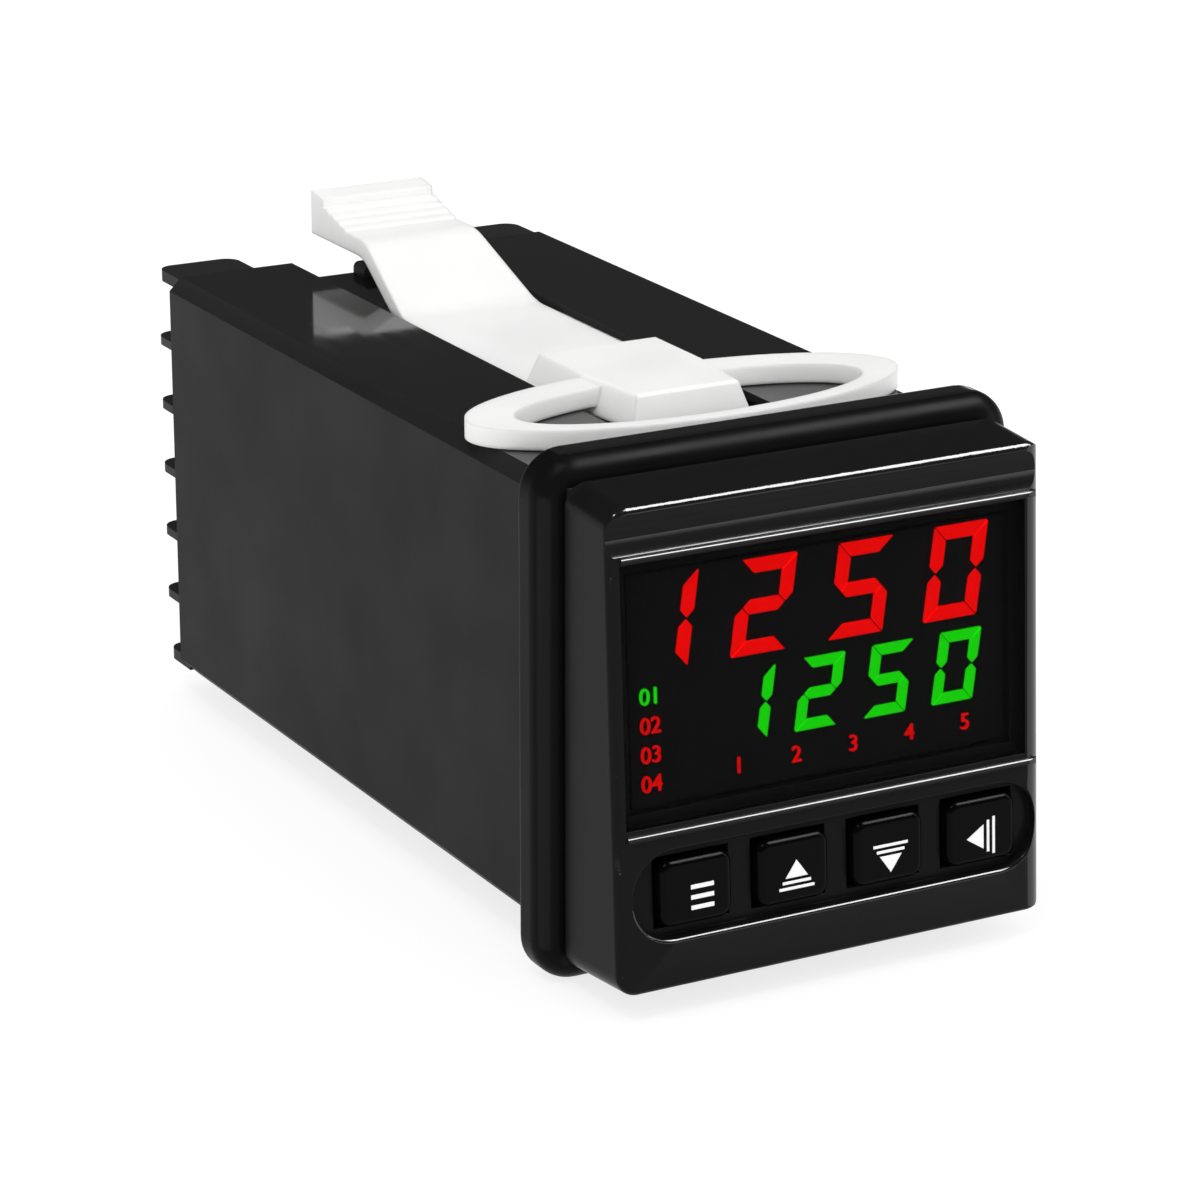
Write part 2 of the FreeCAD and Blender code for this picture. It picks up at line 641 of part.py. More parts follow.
# Terminal block with its fins and tongues
def make_terminal_block():
    body = new_body("terminal_block")
    plug = new_sketch(body, "plug_section", offset="-sleeve_length")
    outline(plug, cavity("block_gap"))
    extrude("Pad", "plug_run", plug, "block_floor")

    rim = new_sketch(body, "rim_section", offset="-sleeve_length")
    side = "%s - rim_inset" % SIDE
    high = "%s - rim_inset" % TOP
    low_step = "%s - rim_step_gap" % GROOVE_FLOOR
    outline(rim, lower_half(side, high) + [
        ("%s - top_chamfer" % side, high),
        (TONGUE_INNER, high),
        (TONGUE_INNER, low_step),
        ("-" + TONGUE_INNER, low_step),
        ("-" + TONGUE_INNER, high),
        ("-(%s) + top_chamfer" % side, high),
        ("-(%s)" % side, "%s - top_chamfer" % high),
    ])
    extrude("Pad", "rim_run", rim, "block_rim", reverse=True)

    # The fins stand between the rows, across the whole rear
    fins = new_sketch(body, "fin_sections", offset="-(%s)" % BLOCK_BACK)
    for row in range(TERMINAL_ROWS - 1):
        centred_outline(fins, "2 * (%s - rim_inset)" % SIDE, "fin_wall", "0",
                        row_level(row) + " - terminal_pitch / 2")
    extrude("Pad", "fin_run", fins, "fin_length", reverse=True)

    # Upright walls between the columns join the fins
    walls = new_sketch(body, "wall_sections", offset="-(%s)" % BLOCK_BACK)
    for place in ("-board_spread", "0", "board_spread"):
        box_outline(walls, "%s - fin_wall / 2" % place, "%s + fin_wall / 2" % place,
                    "-(%s - rim_inset - tongue_wall - fin_wall)" % TOP, CHANNEL_BASE)
    extrude("Pad", "wall_run", walls, "fin_length", reverse=True)

    for name, sign in (("upper_tongues", 1), ("lower_tongues", -1)):
        tongues = new_sketch(body, name + "_section", offset="-(%s)" % BLOCK_BACK)
        for hand in (-1, 1):
            box_outline(tongues, "%d * %s" % (hand, TONGUE_OUTER), "%d * %s" % (hand, TONGUE_INNER),
                        "%d * (%s - rim_inset - tongue_wall)" % (sign, TOP),
                        "%d * (%s - rim_inset)" % (sign, TOP))
        run = extrude("Pad", name, tongues, "tongue_length", reverse=True)
    end = value("sleeve_length") + value("block_rim") + value("tongue_length")

    def tongue_corner(first, second):
        return runs_along(2)(first, second) and near(first.y, end)

    rounded = dress("Fillet", "tongue_corners", run, edges_of(run, tongue_corner), "Radius", "tongue_corner")
    fin_end = value("sleeve_length") + value("block_rim") + value("fin_length")
    fin_side = number_of(SIDE + " - rim_inset")

    def fin_corner(first, second):
        return runs_along(2)(first, second) and near(first.y, fin_end) and near(abs(first.x), fin_side)

    dress("Fillet", "fin_corners", rounded, edges_of(rounded, fin_corner), "Radius", "fin_corner")

    # Slots for the contact springs and bores for the screws
    slots = new_sketch(body, "slot_sections", offset="-(%s)" % BLOCK_BACK)
    bores = new_sketch(body, "bore_sections", offset="-(%s)" % BLOCK_BACK)
    for hand, column, row in terminals():
        blade = "%d * (%s)" % (hand, BLADE_MIDDLE[column])
        centred_outline(slots, "contact_thickness + 2 * bore_gap", "contact_width + 2 * bore_gap",
                        blade, row_level(row) + " - contact_drop")
        disc(bores, "%d * %s" % (hand, COLUMN_PLACE[column]), row_level(row), "screw_shank / 2 + bore_gap")
    extrude("Pocket", "slot_run", slots, "block_floor + block_rim", reverse=True)
    extrude("Pocket", "bore_run", bores, "block_floor + block_rim", reverse=True)


# Screws, clamp plates and contact springs of the terminals
ALONG = FreeCAD.Vector(0, 1, 0)


def terminal_place(hand, column, row):
    """Middle of a terminal, in the plane of the panel seat."""
    return FreeCAD.Vector(hand * number_of(COLUMN_PLACE[column]), 0, number_of(row_level(row)))


def rod(diameter, front, length):
    """A round rod on the Y axis."""
    return Part.makeCylinder(diameter / 2, length, FreeCAD.Vector(0, front, 0), ALONG)


def plate(width, height, front, thickness):
    """A plate across the Y axis."""
    return Part.makeBox(width, thickness, height, FreeCAD.Vector(-width / 2, front, -height / 2))


def at_terminals(label, shape):
    """One node with a copy of the shape at each terminal."""
    item = named(doc.addObject("Part::Feature", label), label)
    item.Shape = Part.makeCompound([shape.translated(terminal_place(*place)) for place in terminals()])


def make_screws():
    head_base = number_of(CLAMP_BACK)
    crown = head_base + value("head_height")
    head = rod(value("screw_head"), head_base, value("head_height"))
    screw = head.fuse(rod(value("screw_shank"), head_base - value("shank_length"), value("shank_length")))
    for across, up in (("slot_length", "slot_width"), ("slot_width", "slot_length")):
        screw = screw.cut(plate(value(across), value(up), crown - value("slot_depth"), value("slot_depth")))
    at_terminals("terminal_screws", screw.removeSplitter())


def make_clamps():
    thickness = value("clamp_thickness")
    bore = rod(value("screw_shank") + 2 * value("bore_gap"), number_of(CONTACT_BACK), thickness)
    clamp = plate(value("clamp_width"), value("clamp_height"), number_of(CONTACT_BACK), thickness)
    at_terminals("terminal_clamps", clamp.cut(bore))


def make_contacts():
    """Angled springs: a blade beside a board's edge and a foot under the clamp plate."""
    back = number_of(BLOCK_BACK)
    front = number_of(BLOCK_BACK + " - block_rim - block_floor - contact_reach")
    thickness = value("contact_thickness")
    springs = []
    for hand, column, row in terminals():
        place = terminal_place(hand, column, row)
        blade_at = hand * number_of(BLADE_MIDDLE[column])
        blade = plate(thickness, value("contact_width"), front, back + thickness - front)
        blade.translate(FreeCAD.Vector(blade_at, 0, place.z - value("contact_drop")))
        outward = 1 if place.x > blade_at else -1
        ends = sorted((blade_at - outward * thickness / 2, place.x + outward * value("screw_head") / 2))
        foot = plate(ends[1] - ends[0], value("contact_foot"), back, thickness)
        foot.translate(FreeCAD.Vector(sum(ends) / 2, 0, place.z))
        bore = rod(value("screw_shank") + 2 * value("bore_gap"), back, thickness)
        springs.append(blade.fuse(foot).cut(bore.translated(place)).removeSplitter())
    item = named(doc.addObject("Part::Feature", "contact_springs"), "contact_springs")
    item.Shape = Part.makeCompound(springs)


# Bezel of the plug-in module
def make_bezel():
    body = new_body("front_bezel")
    rear = new_sketch(body, "bezel_rear_section", offset=BEZEL_REAR)
    centred_outline(rear, BEZEL_WIDTH, BEZEL_HEIGHT)
    face = new_sketch(body, "bezel_face_section")
    lean(face)
    centred_outline(face, FACE_WIDTH, FACE_HEIGHT)
    loft = body.newObject("PartDesign::AdditiveLoft", "bezel_form")
    loft.Profile = rear
    loft.Sections = [face]
    loft.Ruled = True
    doc.recompute()
    corners = edges_of(loft, runs_along(1, 12))
    rounded = dress("Fillet", "bezel_corners", loft, corners, "Radius", "bezel_corner")
    reach = value("face_reach")
    half = number_of(FACE_WIDTH) / 2

    def face_edges(feature):
        tilt = math.radians(value("face_tilt"))
        chosen = []
        for number, edge in enumerate(feature.Shape.Edges, 1):
            ends = [vertex.Point for vertex in edge.Vertexes]
            offset = [
                (point.y + reach) * math.cos(tilt) - (point.z - value("face_rise")) * math.sin(tilt)
                for point in ends
            ]
            if all(abs(step) < 0.01 for step in offset) and abs(ends[0].x) > half / 2:
                chosen.append("Edge%d" % number)
        return chosen

    dress("Fillet", "face_rounding", rounded, face_edges(rounded), "Radius", "face_round")

    cove = new_sketch(body, "cove_section", "YZ_Plane")
    lean_across(cove)
    middle = "%s - (cove_start + cove_end) / 2" % FACE_TOP
    radius = "((cove_end - cove_start) ^ 2 / (8 * cove_depth) + cove_depth / 2)"
    disc(cove, "cove_depth - %s" % radius, middle, radius)
    extrude("Pocket", "cove_run", cove, BEZEL_WIDTH, middle=True)

    recess = new_sketch(body, "recess_section")
    lean(recess)
    recess_outline(recess)
    recess_run = extrude("Pocket", "key_recess", recess, "recess_depth")
    low_run = number_of(KEY_LEVEL + " - recess_height / 2")
    tilt = math.radians(value("face_tilt"))

    def rim_line(first, second):
        level = first.z - value("face_rise")
        height = level * math.cos(tilt) + (first.y + reach) * math.sin(tilt)
        depth = (first.y + reach) * math.cos(tilt) - level * math.sin(tilt)
        return runs_along(0)(first, second) and near(height, low_run) and near(depth, 0)

    dress("Fillet", "recess_rim", recess_run, edges_of(recess_run, rim_line), "Radius", "recess_round")

    flank = new_sketch(body, "flank_section", "XY_Plane")
    lean_up(flank)
    corner_waste(flank, "flank_round")
    extrude("Pocket", "flank_run", flank, BEZEL_HEIGHT + " + 2 * cut_overrun", middle=True)

    ridges = new_sketch(body, "ridge_sections", "YZ_Plane")
    lean_across(ridges)
    for shift in ("+ %s / 2 + ridge_above" % WINDOW_HEIGHT, "- %s / 2 - ridge_below" % WINDOW_HEIGHT):
        disc(ridges, "0", "%s %s" % (WINDOW_MIDDLE, shift), "ridge_radius")
    extrude("Pad", "ridge_run", ridges, FACE_WIDTH + " - flank_round", middle=True)
    trim = new_sketch(body, "ridge_trim_section", "XY_Plane")
    lean_up(trim)
    corner_waste(trim, "flank_round + ridge_radius")
    extrude("Pocket", "ridge_trim", trim, BEZEL_HEIGHT + " + 2 * cut_overrun", middle=True)

    skirt = new_sketch(body, "skirt_section", offset=BEZEL_REAR)
    outline(skirt, cavity("skirt_gap"))
    extrude("Pad", "skirt_run", skirt, "%s + skirt_length" % BEZEL_REAR, reverse=True)

    inside = new_sketch(body, "inside_section", offset="face_reach - bay_depth")
    outline(inside, cavity("skirt_gap + skirt_wall"))
    extrude("Pocket", "inside_run", inside)

    bay = new_sketch(body, "bay_section")
    lean(bay, "face_wall")
    centred_outline(bay, FACE_WIDTH + " - 2 * bay_side", FACE_HEIGHT + " - 2 * bay_end")
    extrude("Pocket", "bay_run", bay, "bay_depth")

    display = new_sketch(body, "display_section")
    lean(display)
    centred_outline(display, OPENING_WIDTH, WINDOW_HEIGHT + " - 2 * window_ledge",
                    WINDOW_ACROSS, WINDOW_MIDDLE)
    extrude("Pocket", "display_run", display, "face_wall + cut_overrun")

    seat = new_sketch(body, "window_section")
    lean(seat)
    centred_outline(seat, WINDOW_WIDTH, WINDOW_HEIGHT, WINDOW_ACROSS, WINDOW_MIDDLE)
    extrude("Pocket", "window_seat", seat, "window_thickness")

    holes = new_sketch(body, "hole_section")
    lean(holes)
    centred_outline(holes, "key_width + 2 * key_gap", "key_height + 2 * key_gap",
                    key_across(0), KEY_LEVEL)
    first = extrude("Pocket", "key_hole", holes, "face_wall + cut_overrun")
    row = body.newObject("PartDesign::LinearPattern", "key_holes")
    row.Originals = [first]
    row.Direction = (holes, ["H_Axis"])
    bind(row, "Length", "%d * %s" % (len(KEY_NAMES) - 1, KEY_PITCH))
    row.Occurrences = len(KEY_NAMES)
    body.Tip = row
    doc.recompute()


def lean_across(sketch):
    """Turn a sketch on the YZ plane so that its first axis points into the face and its second up it."""
    sketch.AttachmentOffset = FreeCAD.Placement(
        FreeCAD.Vector(-value("face_reach"), value("face_rise"), 0),
        FreeCAD.Rotation(FreeCAD.Vector(0, 0, 1), -value("face_tilt")),
    )
    bind(sketch, "AttachmentOffset.Base.x", "-face_reach")
    bind(sketch, "AttachmentOffset.Base.y", "face_rise")
    bind(sketch, "AttachmentOffset.Rotation.Angle", "-face_tilt")


def lean_up(sketch):
    """Lay a sketch square to the face, so that its second axis points into the part."""
    sketch.AttachmentOffset = FreeCAD.Placement(
        FreeCAD.Vector(0, -value("face_reach"), value("face_rise")),
        FreeCAD.Rotation(FreeCAD.Vector(1, 0, 0), -value("face_tilt")),
    )
    bind(sketch, "AttachmentOffset.Base.y", "-face_reach")
    bind(sketch, "AttachmentOffset.Base.z", "face_rise")
    bind(sketch, "AttachmentOffset.Rotation.Angle", "-face_tilt")


def corner_waste(sketch, radius):
    """What lies outside a rounding about the axis of the right front corner, with some room around it."""
    turn = "(%s / 2 - flank_round)" % FACE_WIDTH
    front = "flank_round - (%s)" % radius
    ahead = "flank_round - 2 * (%s)" % radius
    side = "%s + %s" % (turn, radius)
    outside = "%s + 2 * (%s)" % (turn, radius)
    circle = Part.Circle(spot(turn, "flank_round"), FreeCAD.Vector(0, 0, 1), number_of(radius))
    arc = sketch.addGeometry(Part.ArcOfCircle(circle, -math.pi / 2, 0), False)
    corners = [
        (turn, front),
        (turn, ahead),
        (outside, ahead),
        (outside, "flank_round"),
        (side, "flank_round"),
    ]
    for begin, end in zip(corners, corners[1:]):
        sketch.addGeometry(Part.LineSegment(spot(*begin), spot(*end)), False)
    for line in (1, 2, 3):
        sketch.addConstraint(Sketcher.Constraint("Coincident", arc + line, 2, arc + line + 1, 1))
    sketch.addConstraint(Sketcher.Constraint("Coincident", arc + 4, 2, arc, 2))
    sketch.addConstraint(Sketcher.Constraint("Coincident", arc, 1, arc + 1, 1))
    fix_point(sketch, arc, 3, turn, "flank_round")
    fix_point(sketch, arc, 1, turn, front)
    hold(sketch, "DistanceY", "flank_round", -1, 1, arc, 2)
    for line in (1, 2, 3):
        fix_point(sketch, arc + line + 1, 1, *corners[line])


def recess_outline(sketch):
    """A slot with round ends, across the face at the level of the keys."""
    far = "(%s / 2 - recess_height / 2)" % RECESS_WIDTH
    middle = KEY_LEVEL
    radius = "recess_height / 2"
    for side in (1, -1):
        centre = "%s + %d * %s" % (RECESS_MIDDLE, side, far)
        circle = Part.Circle(spot(centre, middle), FreeCAD.Vector(0, 0, 1), number_of(radius))
        turn = -side * math.pi / 2
        arc = sketch.addGeometry(Part.ArcOfCircle(circle, turn, turn + math.pi), False)
        for point, sign in ((1, -side), (2, side)):
            fix_point(sketch, arc, point, centre, "%s + %d * (%s)" % (middle, sign, radius))
        hold(sketch, "DistanceX", centre, -1, 1, arc, 3)
    for sign, begin, end in ((1, (0, 2), (1, 1)), (-1, (1, 2), (0, 1))):
        level = "%s + %d * (%s)" % (middle, sign, radius)
        ends = ["%s + %d * %s" % (RECESS_MIDDLE, way * sign, far) for way in (1, -1)]
        edge = Part.LineSegment(spot(ends[0], level), spot(ends[1], level))
        line = sketch.addGeometry(edge, False)
        sketch.addConstraint(Sketcher.Constraint("Coincident", *begin, line, 1))
        sketch.addConstraint(Sketcher.Constraint("Coincident", line, 2, *end))


def face_plate(label, front, rear, left, right, low, high):
    """A plate parallel to the face, between two depths behind it."""
    body = new_body(label)
    on_face(body)
    section = new_sketch(body, label + "_section", offset="-(%s)" % front)
    box_outline(section, left, right, low, high)
    extrude("Pad", label + "_run", section, "(%s) - (%s)" % (rear, front), reverse=True)


WINDOW_MIDDLE = "%s - window_drop - %s / 2" % (FACE_TOP, WINDOW_HEIGHT)
WINDOW_ACROSS = "(window_left - flank_round) / 2"
DISPLAY_FRONT = "window_thickness + display_gap"
LIT_FRONT = DISPLAY_FRONT + " - lit_thickness"
DISPLAY_REAR = DISPLAY_FRONT + " + display_depth"
BOARD_REAR = DISPLAY_REAR + " + board_thickness"
KEY_REAR = "face_wall + key_flange"


def make_seal():
    body = new_body("bezel_seal")
    section = new_sketch(body, "seal_section", offset="collar_depth")
    width = BEZEL_WIDTH + " - 2 * bezel_corner / 3"
    height = BEZEL_HEIGHT + " - 2 * bezel_corner / 3"
    centred_outline(section, width, height)
    centred_outline(section, width + " - 2 * seal_width", height + " - 2 * seal_width")
    extrude("Pad", "seal_run", section, "seal_thickness")


def make_window():
    half_width = WINDOW_WIDTH + " / 2 - window_gap"
    half_height = WINDOW_HEIGHT + " / 2 - window_gap"
    face_plate("display_window", "0", "window_thickness",
               "%s - (%s)" % (WINDOW_ACROSS, half_width), "%s + %s" % (WINDOW_ACROSS, half_width),
               "%s - (%s)" % (WINDOW_MIDDLE, half_height), "%s + (%s)" % (WINDOW_MIDDLE, half_height))


def make_display():
    half_width = WINDOW_WIDTH + " / 2 - window_ledge - display_side"
    half_height = WINDOW_HEIGHT + " / 2 - window_ledge - display_side"
    face_plate("display_block", DISPLAY_FRONT, DISPLAY_REAR,
               "%s - (%s)" % (WINDOW_ACROSS, half_width), "%s + %s" % (WINDOW_ACROSS, half_width),
               "%s - (%s)" % (WINDOW_MIDDLE, half_height), "%s + (%s)" % (WINDOW_MIDDLE, half_height))


# Seven bars of a digit, named as on every seven-segment display
LIT_BARS = {
    "0": "abcdef",
    "1": "bc",
    "2": "abged",
    "3": "abgcd",
    "4": "fgbc",
    "5": "afgcd",
    "6": "afgedc",
    "7": "abc",
    "8": "abcdefg",
    "9": "gfabcd",
}
READING = "1250"
BAR_GAP = 0.09  # half the gap between two bars, as a share of their stroke


def bar_corners(bar, width, height, stroke):
    """Corners of one bar in an upright digit whose middle is the origin."""
    gap = stroke * BAR_GAP
    right = width / 2
    top = height / 2
    if bar in "ad":
        sign = 1 if bar == "a" else -1
        return [
            (-right + gap, sign * top),
            (right - gap, sign * top),
            (right - stroke - gap, sign * (top - stroke)),
            (-right + stroke + gap, sign * (top - stroke)),
        ]
    if bar == "g":
        half = stroke / 2
        return [
            (-right + half + gap, 0),
            (-right + stroke + gap, half),
            (right - stroke - gap, half),
            (right - half - gap, 0),
            (right - stroke - gap, -half),
            (-right + stroke + gap, -half),
        ]
    across = 1 if bar in "bc" else -1
    up = 1 if bar in "bf" else -1
    return [
        (across * right, up * (top - gap)),
        (across * (right - stroke), up * (top - stroke - gap)),
        (across * (right - stroke), up * (stroke / 2 + gap)),
        (across * (right - stroke / 2), up * gap),
        (across * right, up * (stroke / 2 + gap)),
    ]


def lit_plate(corners, front, thickness):
    points = [FreeCAD.Vector(across, front, up) for across, up in corners]
    face = Part.Face(Part.makePolygon(points + points[:1]))
    return face.extrude(FreeCAD.Vector(0, thickness, 0))


UPPER_LEFT = "(window_left + window_ledge + digit_left - %s / 2)" % FACE_WIDTH
LOWER_RIGHT = "(%s / 2 - flank_round - window_ledge - digit_right - lower_digit_inset)" % FACE_WIDTH
LOWER_LEFT = "(%s - 4 * lower_digit_width - 3 * lower_digit_space)" % LOWER_RIGHT
DIGITS_TOP = "%s - window_drop - digit_margin" % FACE_TOP
UPPER_LEVEL = DIGITS_TOP + " - upper_digit_height / 2"
LOWER_LEVEL = DIGITS_TOP + " - upper_digit_height - digit_gap - lower_digit_height / 2"
LAMP_ROW_LEVEL = LOWER_LEVEL + " - lower_digit_height / 2 - lamp_gap - lamp_height / 2"


def make_digits(label, prefix, left, level_formula):
    width = value(prefix + "_digit_width")
    height = value(prefix + "_digit_height")
    stroke = value(prefix + "_digit_stroke")
    pitch = width + value(prefix + "_digit_space")
    level = number_of(level_formula)
    lean_rate = math.tan(math.radians(value("digit_slant")))
    front = number_of(LIT_FRONT)
    bars = []
    for place, digit in enumerate(READING):
        middle = number_of(left) + width / 2 + place * pitch
        for bar in LIT_BARS[digit]:
            corners = [
                (middle + across + up * lean_rate, level + up)
                for across, up in bar_corners(bar, width, height, stroke)
            ]
            bars.append(lit_plate(corners, front, value("lit_thickness")))
    item = named(doc.addObject("Part::Feature", label), label)
    item.Shape = Part.makeCompound(bars)
    on_face(item)


COLUMN_LAMPS = 4
ROW_LAMPS = 5


def make_lamps():
    """Lit bars of the status column and the lower row; the first of the column has its own colour."""
    front = number_of(LIT_FRONT)
    row_level = number_of(LAMP_ROW_LEVEL)
    column_middle = number_of(UPPER_LEFT + " + lamp_inset + lamp_width / 2")
    row_start = number_of(LOWER_LEFT + " + lamp_row_inset")
    places = []
    for row in range(COLUMN_LAMPS):
        level = row_level - value("lamp_step") + (COLUMN_LAMPS - 1 - row) * value("lamp_column_pitch")
        places.append((column_middle, level, value("lamp_width")))
    for column in range(ROW_LAMPS):
        places.append((row_start + column * value("lamp_row_pitch"), row_level, value("lamp_row_width")))
    half = value("lamp_height") / 2
    lamps = []
    for middle, level, width in places:
        corners = [
            (middle - width / 2, level - half),
            (middle + width / 2, level - half),
            (middle + width / 2, level + half),
            (middle - width / 2, level + half),
        ]
        lamps.append(lit_plate(corners, front, value("lit_thickness")))
    for label, bars in (("run_lamp", lamps[:1]), ("status_lamps", lamps[1:])):
        item = named(doc.addObject("Part::Feature", label), label)
        item.Shape = Part.makeCompound(bars)
        on_face(item)


# Height of the long boards between the skirt's walls
BOARD_HIGH = CHANNEL_BASE + " - skirt_gap - skirt_wall - board_gap"
BOARD_LOW = "-(%s - sleeve_wall - skirt_gap - skirt_wall - board_gap)" % TOP
BOARD_END = "sleeve_length - block_floor - board_rear_gap"


def make_boards():
    half = "%s - sleeve_wall - skirt_gap - skirt_wall - board_gap" % SIDE
    face_plate("display_board", DISPLAY_REAR, BOARD_REAR,
               "-(%s)" % half, half,
               BOARD_LOW + " + face_rise + board_trim", BOARD_HIGH + " - face_rise - board_trim")
    for label, hand in (("main_board", -1), ("power_board", 1)):
        ends = ["%d * (%s)" % (hand, BOARD_OUT), "%d * (%s)" % (hand, BOARD_IN)]
        if hand > 0:
            ends.reverse()
        named(block(label, ends[0], ends[1], "-board_front", BOARD_END, BOARD_LOW, BOARD_HIGH), label)


def make_headers():
    """Connectors between the display board and the two long boards."""
    body = new_body("board_headers")
    on_face(body)
    section = new_sketch(body, "header_section", offset="-(%s)" % BOARD_REAR)
    for hand in (-1, 1):
        box_outline(section, "%d * (%s)" % (hand, BOARD_IN), "%d * (%s - header_width)" % (hand, BOARD_IN),
                    "-(header_height / 2)", "header_height / 2")
    extrude("Pad", "header_run", section, "header_length", reverse=True)


def make_switches():
    """Tactile switches on the display board, one behind each key."""
    body = new_body("key_switches")
    on_face(body)
    cases = new_sketch(body, "switch_section", offset="-(%s)" % DISPLAY_REAR)
    plungers = new_sketch(body, "plunger_section", offset="-(%s)" % DISPLAY_REAR)
    for key in range(len(KEY_NAMES)):
        centred_outline(cases, "switch_size", "switch_size", key_across(key), KEY_LEVEL)
        disc(plungers, key_across(key), KEY_LEVEL, "switch_plunger / 2")
    extrude("Pad", "switch_cases", cases, "switch_body")
    plunger_length = "%s - (%s + key_travel + switch_gap)" % (DISPLAY_REAR, KEY_REAR)
    extrude("Pad", "switch_plungers", plungers, plunger_length)


def make_key(label, place):
    body = new_body(label)
    on_face(body)
    across = key_across(place)
    cap = new_sketch(body, label + "_cap_section", offset="-key_inset")
    centred_outline(cap, "key_width", "key_height", across, KEY_LEVEL)
    run = extrude("Pad", label + "_cap", cap, "%s - key_inset" % KEY_REAR, reverse=True)
    rounded = dress("Fillet", label + "_corners", run, edges_of(run, runs_along(1)), "Radius", "key_corner")
    front = value("key_inset")
    rims = [
        "Edge%d" % number for number, edge in enumerate(rounded.Shape.Edges, 1)
        if near(edge.BoundBox.YMin, front) and near(edge.BoundBox.YMax, front)
    ]
    dress("Fillet", label + "_rounding", rounded, rims, "Radius", "key_round")
    flange = new_sketch(body, label + "_flange_section", offset="-face_wall")
    centred_outline(flange, "key_width + 2 * key_flange", "key_height + 2 * key_flange", across, KEY_LEVEL)
    extrude("Pad", label + "_flange", flange, "key_flange", reverse=True)


def make_power_parts():
    inner = BOARD_IN
    core = block("transformer_core", "%s - transformer_depth" % inner, inner,
                 "transformer_start", "transformer_start + transformer_width",
                 "-(transformer_height / 2)", "transformer_height / 2")
    winding = block("transformer_winding", "%s - transformer_depth - winding_rise" % inner,
                    "%s - winding_base" % inner,
                    "transformer_start + winding_inset",
                    "transformer_start + transformer_width - winding_inset",
                    "-(transformer_height / 2 + winding_overhang)",
                    "transformer_height / 2 + winding_overhang")
    transformer = doc.addObject("Part::MultiFuse", "power_transformer")
    transformer.Shapes = [core, winding]
    transformer.Refine = True
    named(transformer, "power_transformer")

    can = named(doc.addObject("Part::Cylinder", "input_capacitor"), "input_capacitor")
    can.Placement = FreeCAD.Placement(FreeCAD.Vector(0, 0, 0), FreeCAD.Rotation(FreeCAD.Vector(0, 1, 0), -90))
    bind(can, "Radius", "capacitor_diameter / 2")
    bind(can, "Height", "%s - capacitor_clear" % inner)
    bind(can, "Placement.Base.x", inner)
    bind(can, "Placement.Base.y", "capacitor_place")


def make_main_parts():
    inner = "-(%s)" % BOARD_IN
    relay_end = "sleeve_length - block_floor - contact_reach - relay_clear"
    relays = []
    for name, low, high in (("upper_relay", "relay_gap / 2", "relay_gap / 2 + relay_height"),
                            ("lower_relay", "-(relay_gap / 2) - relay_height", "-(relay_gap / 2)")):
        relays.append(block(name, inner, "-relay_middle",
                            relay_end + " - relay_length", relay_end, low, high))
    pair = doc.addObject("Part::Compound", "output_relays")
    pair.Links = relays
    named(pair, "output_relays")
    named(block("processor_chip", inner, "%s + chip_thickness" % inner,
                "chip_place - chip_size / 2", "chip_place + chip_size / 2",
                "-(chip_size / 2)", "chip_size / 2"), "processor_chip")


